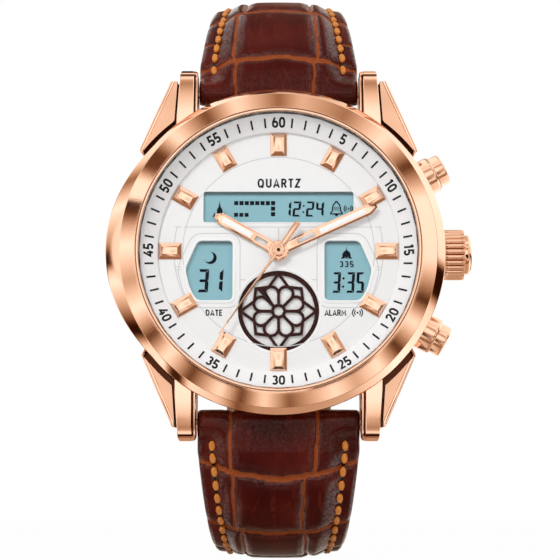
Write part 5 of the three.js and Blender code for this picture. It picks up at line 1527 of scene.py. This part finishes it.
def crownCore():
    c = crownSizes
    base, knurlEnd, core, end, ring = c["Base"], c["Base"] + c["Length"], c["core"], c["end"], c["ring"]
    shape = lathe(softened([
        (c["bore"], base + 0.05, 0.05), (core - 0.3, base + 0.02, 0.1), (core, base + 0.3, 0.1),
        (core, knurlEnd - 0.3, 0.08), (core - 0.22, knurlEnd - 0.05, 0.04),
        (c["boss"] - 0.02, knurlEnd - 0.08, 0.03), (c["boss"], knurlEnd + 0.1, 0.03),
        (c["boss"], end - 0.42, c["round"]), (ring + 0.16, end - 0.1, 0.1), (ring + 0.05, end - 0.13, 0.02),
        (ring - 0.05, end - 0.09, 0.03), (ring * 0.5, end - 0.02, 0.5), (0, end, 0), (0, c["boreEnd"], 0),
        (c["bore"], c["boreEnd"], 0.02)], 0.05, 5), 160, c["height"])
    # between the ridges the core's colour is darkened with painted shade
    shape.marks["recess"] = [1 if x < knurlEnd - 0.1 else 0 for x, y, h in shape.points]
    return shape


def crownRidges():
    grow = Growth("crown_ridges", crownSizes)
    size = grow.size
    length, radius, ridge = size("Length"), size("Radius"), size("Ridge Radius")
    path = grow.node("GeometryNodeCurvePrimitiveLine", inputs={
        "Start": grow.joined(size("Base") + 0.02, 0, 0), "End": grow.joined(size("Base") + length, 0, 0)})
    stepped = grow.node("GeometryNodeResampleCurve", inputs={"Curve": path, "Count": 22})
    along = grow.node("GeometryNodeSplineParameter")
    near = along.maths("MINIMUM", 1 - along) * length / size("Chamfer")
    full = near.maths("MINIMUM", 1.0) * 0.55 + 0.45
    # the ridge's underside stays level, so that only its outer side slopes at the ends
    leaned = grow.placed(stepped, Offset=grow.joined(0, 0, (full - 1) * ridge * 0.35))
    narrowed = grow.node("GeometryNodeSetCurveRadius", inputs={"Curve": leaned, "Radius": full})
    section = grow.node("GeometryNodeCurvePrimitiveCircle", inputs={"Resolution": 16, "Radius": ridge})
    bar = grow.node("GeometryNodeCurveToMesh", inputs={
        "Curve": narrowed, "Profile Curve": section, "Fill Caps": True})
    ring = grow.ring(size("Ridges"), radius - ridge, (0, turn / 4, 0))
    x, y, z = grow.position()
    spread = grow.spread(ring, bar, grow.joined(y.maths("ARCTAN2", z) * -1, 0, 0))
    lifted = grow.moved(spread, (0, 0, crownSizes["height"]))
    piece = grow.piece(lifted, polished, "crown_and_stem", "rose_gold")
    piece.data.shade_smooth()
    piece.data.set_sharp_from_angle(angle=math.radians(50))


buildPiece("crown_core", crownCore(), "crown_and_stem", polished, "rose_gold", ["crown"])
crownRidges()

# Pushers: a sleeve with a rounded mouth, a cap that slides in it, and a spring

pusherSizes = {
    "angle": 28, "height": 4.875, "travel": 0.9, "sleeve": 2.55, "sleeveBase": 21.35, "sleeveEnd": 24.9,
    "bore": 2.25, "floor": 21.95, "neck": 1.3, "neckBase": 17.35, "rodBore": 0.67, "cap": 2.18,
    "capBase": 23.15, "capEnd": 26.55, "pocket": 1.75, "pocketEnd": 25.35, "rod": 0.6, "clip": 1.0,
    "clipBase": 16.95, "clipWidth": 0.35, "rodBase": 16.3, "dome": 0.14,
}


def pusherSleeve():
    p = pusherSizes
    sleeve, base, end = p["sleeve"], p["sleeveBase"], p["sleeveEnd"]
    profile = softened([
        (p["rodBore"], p["neckBase"]), (p["neck"], p["neckBase"]), (p["neck"], base), (sleeve - 0.25, base),
        (sleeve, base + 0.25), (sleeve, end - 0.3, 0.25), (sleeve - 0.16, end, 0.12), (p["bore"], end - 0.02),
        (p["bore"], p["floor"]), (p["rodBore"], p["floor"])], 0.05)
    return lathe(profile, 128, p["height"])


def pusherCap():
    p = pusherSizes
    cap, end, rod, clip, pocket = p["cap"], p["capEnd"], p["rod"], p["clip"], p["pocket"]
    rim, clipEnd = end - p["dome"], p["clipBase"] + p["clipWidth"]
    profile = softened([
        (0, p["rodBase"], 0), (rod, p["rodBase"]), (rod, p["clipBase"]), (clip, p["clipBase"]),
        (clip, clipEnd), (rod, clipEnd), (rod, p["pocketEnd"]), (pocket, p["pocketEnd"]),
        (pocket, p["capBase"]), (cap, p["capBase"]), (cap, end - 0.36, 0.1), (cap - 0.1, rim - 0.06, 0.08),
        (cap - 0.34, rim, 0.12), (cap * 0.5, end - 0.02, 0.6), (0, end, 0)], 0.04, closed=False)
    return lathe(profile, 128, p["height"], toAxis=True)


for level, side in (("upper", 1), ("lower", -1)):
    angle, pusher = math.radians(pusherSizes["angle"] * side), "pusher_" + level
    place = Matrix.Rotation(angle, 4, "Z")
    buildPiece("pusher_sleeve_" + level, Shape().merge(pusherSleeve(), place), "case", softGold, "rose_gold",
               [pusher + "_tube"])
    buildPiece("pusher_button_" + level, Shape().merge(pusherCap(), place), pusher, softGold, "rose_gold",
               [pusher + "_cap"])
    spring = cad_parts[pusher + "_spring"].data.copy()
    coil = settle(linked(pusher + "_spring_coil", spring), "case", pinSteel, "steel", [pusher + "_spring"])
    along = Vector((math.cos(angle), 0, math.sin(angle)))
    reach = [along.dot(v.co) for v in spring.vertices]
    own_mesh(coil)
print("crown and pushers")

# Case back: a brushed steel lid with turned steps, held by four slotted screws

backSizes = {"radius": 19.85, "thick": 1.5, "edge": 0.25, "step": 16.4, "steps": (1.3, 1.36, 1.5, 1.56),
             "hollow": (7.3, 7.24, 7.1, 7.04), "groove": 0.12, "low": 0.03, "counterbore": 0.85,
             "Circle": 18.6, "Screws": 4, "Head": 0.8, "Rise": 0.65, "Sink": 0.1, "Slot": 0.28,
             "Slot Depth": 0.3, "Shank": 0.45, "Reach": 2.6}


def caseBackLid():
    b = backSizes
    holes = [circle(b["counterbore"], 32, clockPlace(b["Circle"], 60 * (k + 0.5) / b["Screws"]))
             for k in range(b["Screws"])]
    rim = plate(circle(b["radius"], 256), holes + [circle(b["step"], 192)],
                [(b["edge"] + 0.02, 0), (0.06, b["edge"] * 0.6), (0, b["edge"]), (0, b["thick"])],
                [(-0.06, 0), (0, 0.06), (0, b["thick"])])
    step, groove, low = b["step"], b["groove"], b["low"]
    profile = [(0, b["thick"], 0), (step, b["thick"], 0), (step, groove, 0.03), (step - 0.25, groove, 0.03),
               (step - 0.32, low, 0.05)]
    for a, c, d, e in ([step - v for v in b["steps"]], b["hollow"]):
        # a sunk ring
        profile += [(a, low, 0.05), (c, groove * 0.7, 0.02), (d, groove * 0.7, 0.02), (e, low, 0.05)]
    disc = lathe(softened(profile + [(0, low, 0)], 0.03, 2, closed=False), toAxis=True)
    return rim.merge(disc)


def backScrews():
    grow = Growth("case_back_screws", backSizes)
    size = grow.size
    rise, sink, reach = size("Rise"), size("Sink"), size("Reach")

    def cylinder(sides, radius, depth):
        return grow.node("GeometryNodeMeshCylinder", inputs={
            "Vertices": sides, "Radius": radius, "Depth": depth})

    cutter = grow.cube(size("Head") * 3, size("Slot"), size("Slot Depth") * 2)
    lowered = grow.moved(cutter, grow.joined(0, 0, rise * -0.5))
    slotted = grow.node("GeometryNodeMeshBoolean", {"operation": "DIFFERENCE"}, {
        "Mesh 1": cylinder(40, size("Head"), rise), "Mesh 2": lowered})
    head = grow.moved(slotted, grow.joined(0, 0, sink + rise * 0.5))
    shank = grow.moved(cylinder(24, size("Shank"), reach), grow.joined(0, 0, sink + rise + reach * 0.5))
    screw = grow.node("GeometryNodeJoinGeometry", inputs={"Geometry": [head, shank]})
    ring = grow.ring(size("Screws"), size("Circle"), (0, 0, turn / 8))
    x, y, z = grow.position()
    spread = grow.spread(ring, screw, grow.joined(0, 0, y.maths("ARCTAN2", x)))
    names = ["case_back_screw_%d" % (k + 1) for k in range(backSizes["Screws"])]
    piece = bevelled(grow.piece(spread, pinSteel, "case", "steel", names), 0.04)
    piece.data.set_sharp_from_angle(angle=math.radians(40))


buildPiece("case_back_lid", caseBackLid(), "case", steel, "steel", ["case_back"], 25)
backScrews()
print("case back")

# Keepers: bands of the strap's leather with a creased line beside each edge

keeperSizes = {"fixed": 68.25, "free": 63.03, "width": 4.5, "wall": 1.1, "half": 9.3, "under": -1.5,
               "over": 4.2, "crease": 1.62, "creaseDepth": 0.14, "step": 0.6}


def keeperBand(centre):
    k = keeperSizes
    half, wall, crease, deep = k["width"] / 2, k["wall"], k["crease"], k["creaseDepth"]
    # across one half of the band: offset along the strap, height in the wall, creased, lining
    side = [(half - 0.2, 0.02, 0, 1), (half, 0.25, 0, 1), (half, wall * 0.6, 0, 0),
            (half - 0.1, wall * 0.86, 0, 0), (half - 0.3, wall * 0.97, 0, 0), (crease + 0.12, wall, 0, 0),
            (crease, wall - deep, 1, 0), (crease - 0.12, wall, 0, 0), (0.8, wall, 0, 0)]
    section = [(-offset, *rest) for offset, *rest in side] + [(0, wall, 0, 0)] + side[::-1] + [(0, 0, 0, 1)]
    inner = softened(mirrored([(k["half"], k["under"]), (k["half"], k["over"])]), wall * 1.2, 10)
    dense = []
    for here, following in zip(inner, inner[1:] + inner[:1]):
        steps = max(1, round(math.dist(here, following) / k["step"]))
        dense += [tuple(mix(a, b, j / steps) for a, b in zip(here, following)) for j in range(steps)]
    points = [strapPlace("upper", centre + offset, u, t)
              for offset, rise, *rest in section for u, t in insetLoop(dense, -rise)]
    marks = [(creased, lining, 0, 0.3) for offset, rise, creased, lining in section for place in dense]
    return leatherShape(points, gridFaces(len(section), len(dense), looped=True), marks)


for name, body in (("fixed", "strap_12"), ("free", "keeper")):
    buildPiece("keeper_band_" + name, keeperBand(keeperSizes[name]), body, leather, "strap_leather",
               ["keeper_" + name], 60)

# Buckle and rosette: the solids' own shapes with their edges rounded, and the rosette's bars a little fuller

for name, body, width, fuller, finish, slot in (
        ("buckle_frame", "buckle", 0.3, 0, polished, "rose_gold"),
        ("buckle_bar", "buckle", 0.1, 0, pinSteel, "steel"),
        ("buckle_tongue", "tongue", 0.14, 0, polished, "rose_gold"),
        ("rosette_grille", "case", 0.03, 0.035, enamel, "brown_enamel")):
    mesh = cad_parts[name].data.copy()
    tool = bmesh.new()
    tool.from_mesh(mesh)
    bmesh.ops.remove_doubles(tool, verts=tool.verts, dist=1e-6)
    bmesh.ops.dissolve_limit(tool, angle_limit=math.radians(1), verts=tool.verts, edges=tool.edges)
    tool.normal_update()
    for vert in tool.verts:
        vert.co += vert.normal * fuller * mm
    tool.to_mesh(mesh)
    tool.free()
    piece = applied(bevelled(linked(name + "_rounded", mesh), width, 4, 40))
    finishMesh(piece.data, 40)
    settle(piece, body, finish, slot, [name])
print("keepers, buckle and rosette")

# Floor, lights and camera: the lens sees white, and polished metal sees the studio round the watch

studioSizes = {"floorReach": 2.5, "floorGlow": 0.975, "soft": 0.5, "studio": 1.7, "warmth": (1, 1.35, 1.7)}
lightSizes = {
    "key": {"place": (-150, 300, 230), "size": 130, "power": 0.72},
    "fill": {"place": (260, 300, 40), "size": 300, "power": 0.2},
    "top": {"place": (0, 60, 380), "size": 300, "power": 0.2},
}
cameraSizes = {"elevation": -8.0, "distance": 230, "aim": (0.2, -11.7, -4.5), "frameWidth": 76.4,
               "sensor": 36, "clip": (0.005, 20)}


def stageScene():
    low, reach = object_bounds()[0][2], studioSizes["floorReach"]
    mesh = bpy.data.meshes.new("floor")
    corners = [(-reach, -reach, low), (reach, -reach, low), (reach, reach, low), (-reach, reach, low)]
    mesh.from_pydata(corners, [], [[0, 1, 2, 3]])
    linked("floor", mesh)
    made = Finish("pale_floor")
    white = made.node("ShaderNodeEmission", inputs={"Color": (1, 1, 1), "Strength": 1.0})
    plain = made.node("ShaderNodeBsdfDiffuse", inputs={"Color": (0.8, 0.8, 0.8)})
    lit = made.either(made.ray("Camera") * studioSizes["floorGlow"], plain, white)
    made.close(made.either(made.ray("Glossy"), lit, made.node("ShaderNodeBsdfTransparent")))
    mesh.materials.append(made.holder)


# the studio that polished metal shows, as (clock degrees, brightness) round the dial's axis: the first list
# is seen by the bezel's sloping face, the second by its flank
faceSectors = [
    (0, 0.2), (8, 0.55), (24, 0.25), (40, 0.85), (53, 0.04), (66, 0.85), (90, 0.8), (99, 0.35), (106, 0.012),
    (115, 0.85), (127, 0.02), (137, 0.85), (148, 0.45), (157, 0.8), (176, 0.15), (186, 0.75), (195, 0.05),
    (204, 0.8), (217, 0.06), (229, 0.85), (239, 0.05), (251, 0.9), (262, 0.42), (276, 0.9), (283, 0.5),
    (288, 0.08), (292.6, 0.006), (293.4, 0.85), (301, 0.85), (306, 0.1), (313, 0.08), (321, 0.85),
    (334, 0.09), (345, 0.8), (360, 0.2)]
flankSectors = [
    (0, 0.5), (9, 0.45), (25, 0.75), (60, 0.9), (83, 0.8), (87, 0.015), (97, 0.015), (102, 0.75), (125, 0.95),
    (150, 0.45), (170, 0.35), (190, 0.35), (198, 0.12), (206, 0.6), (220, 0.8), (225, 0.03), (230, 0.04),
    (234, 0.85), (240, 0.8), (244, 0.015), (248, 0.02), (256, 0.5), (264, 0.9), (268, 0.7), (271, 0.015),
    (275, 0.02), (280, 0.4), (294, 0.9), (306, 0.2), (316, 0.75), (335, 0.85), (350, 0.8), (354, 0.03),
    (358, 0.03), (360, 0.5)]
# brightness of the front, from the side of the bezel's face to the lens
frontStops = [(0.8, 0.8), (0.86, 0.7), (0.885, 0.4), (0.915, 0.3), (0.945, 0.44), (0.97, 0.62), (0.985, 0.84),
              (0.9985, 0.88), (0.9996, 0.65)]


def lightWorld():
    world = bpy.data.worlds.new("studio")
    bpy.context.scene.world = world
    made = Finish("studio", world)
    x, y, z = made.parts(made.node("ShaderNodeTexCoord", output="Generated"))
    # the studio's own axis lies where a flat dial reflects the lens
    tilt = math.radians(cameraSizes["elevation"])
    facing, rise = z * -math.sin(tilt) - y * math.cos(tilt), z * math.cos(tilt) - y * math.sin(tilt)
    share = (x.maths("ARCTAN2", rise) / turn).maths("FRACT")

    def sectors(stops):
        # one ramp holds only 32 stops
        half = len(stops) // 2
        first, last = (share.greys(*[(degrees / 360, value) for degrees, value in part])
                       for part in (stops[:half + 1], stops[half:]))
        return made.blend(share.maths("GREATER_THAN", stops[half][0] / 360), first, last)

    def grey(value):
        return value, value, value

    # between flank and face, light from the upper left and half shade from the lower right
    side = made.blend((rise * 0.85 - x * 0.5).between(-0.4, 0.5), grey(0.2), grey(0.75))
    flank = made.blend(facing.between(-0.98, -0.9), grey(0.7), sectors(flankSectors))
    rim = made.blend(facing.between(0.3, 0.34), flank, side)
    face = made.blend(facing.between(0.58, 0.64), rim, sectors(faceSectors))
    # flat tops show the front, bright with half shade round it and the lens in its middle
    near = made.blend(facing.between(0.775, 0.8), face, facing.greys(*frontStops))
    # low in front stands a dark screen, open in its middle, which round pushers and tubes show as a band
    middle = share.within(0.455, 0.545, 0.015) * facing.between(0.775, 0.785)
    screen = share.within(0.37, 0.63, 0.02) * (1 - middle) * facing.between(0.775, 0.79)
    screen = screen * (1 - facing.between(0.952, 0.966))
    value = made.parts(made.blend(screen, near, grey(0.012)))[0]
    warm = made.joined(*[value ** power for power in studioSizes["warmth"]])
    looks = (grey(1), studioSizes["soft"]), (warm, studioSizes["studio"]), (grey(1), 1.0)
    soft, studio, white = (
        made.node("ShaderNodeBackground", inputs={"Color": colour, "Strength": strength})
        for colour, strength in looks)
    lit = made.either(made.ray("Glossy"), soft, studio)
    made.node("ShaderNodeOutputWorld", inputs={"Surface": made.either(made.ray("Camera"), lit, white)})


def addLights():
    for name, sizes in lightSizes.items():
        lamp = bpy.data.lights.new(name, "AREA")
        lamp.shape, lamp.size, lamp.energy = "DISK", sizes["size"] * mm, sizes["power"]
        light = linked(name, lamp)
        light.location = dialToRow @ Vector((sizes["place"][0], sizes["place"][2], sizes["place"][1]))
        light.visible_glossy = False
        light.rotation_euler = (-light.location).to_track_quat("-Z", "Y").to_euler()


def addCamera():
    c = cameraSizes
    lens = bpy.data.cameras.new("camera")
    lens.sensor_width = c["sensor"]
    lens.lens = lens.sensor_width * c["distance"] / c["frameWidth"]
    lens.clip_start, lens.clip_end = c["clip"]
    camera = linked("camera", lens)
    tilt = math.radians(c["elevation"])
    away = Vector((0, -math.cos(tilt), math.sin(tilt)))
    camera.location = (Vector(c["aim"]) + away * c["distance"]) * mm
    camera.rotation_euler = (-away).to_track_quat("-Z", "Y").to_euler()
    bpy.context.scene.camera = camera


stageScene()
lightWorld()
addLights()
addCamera()
bpy.context.scene.view_settings.view_transform = "Standard"
print("stage, lights and camera")
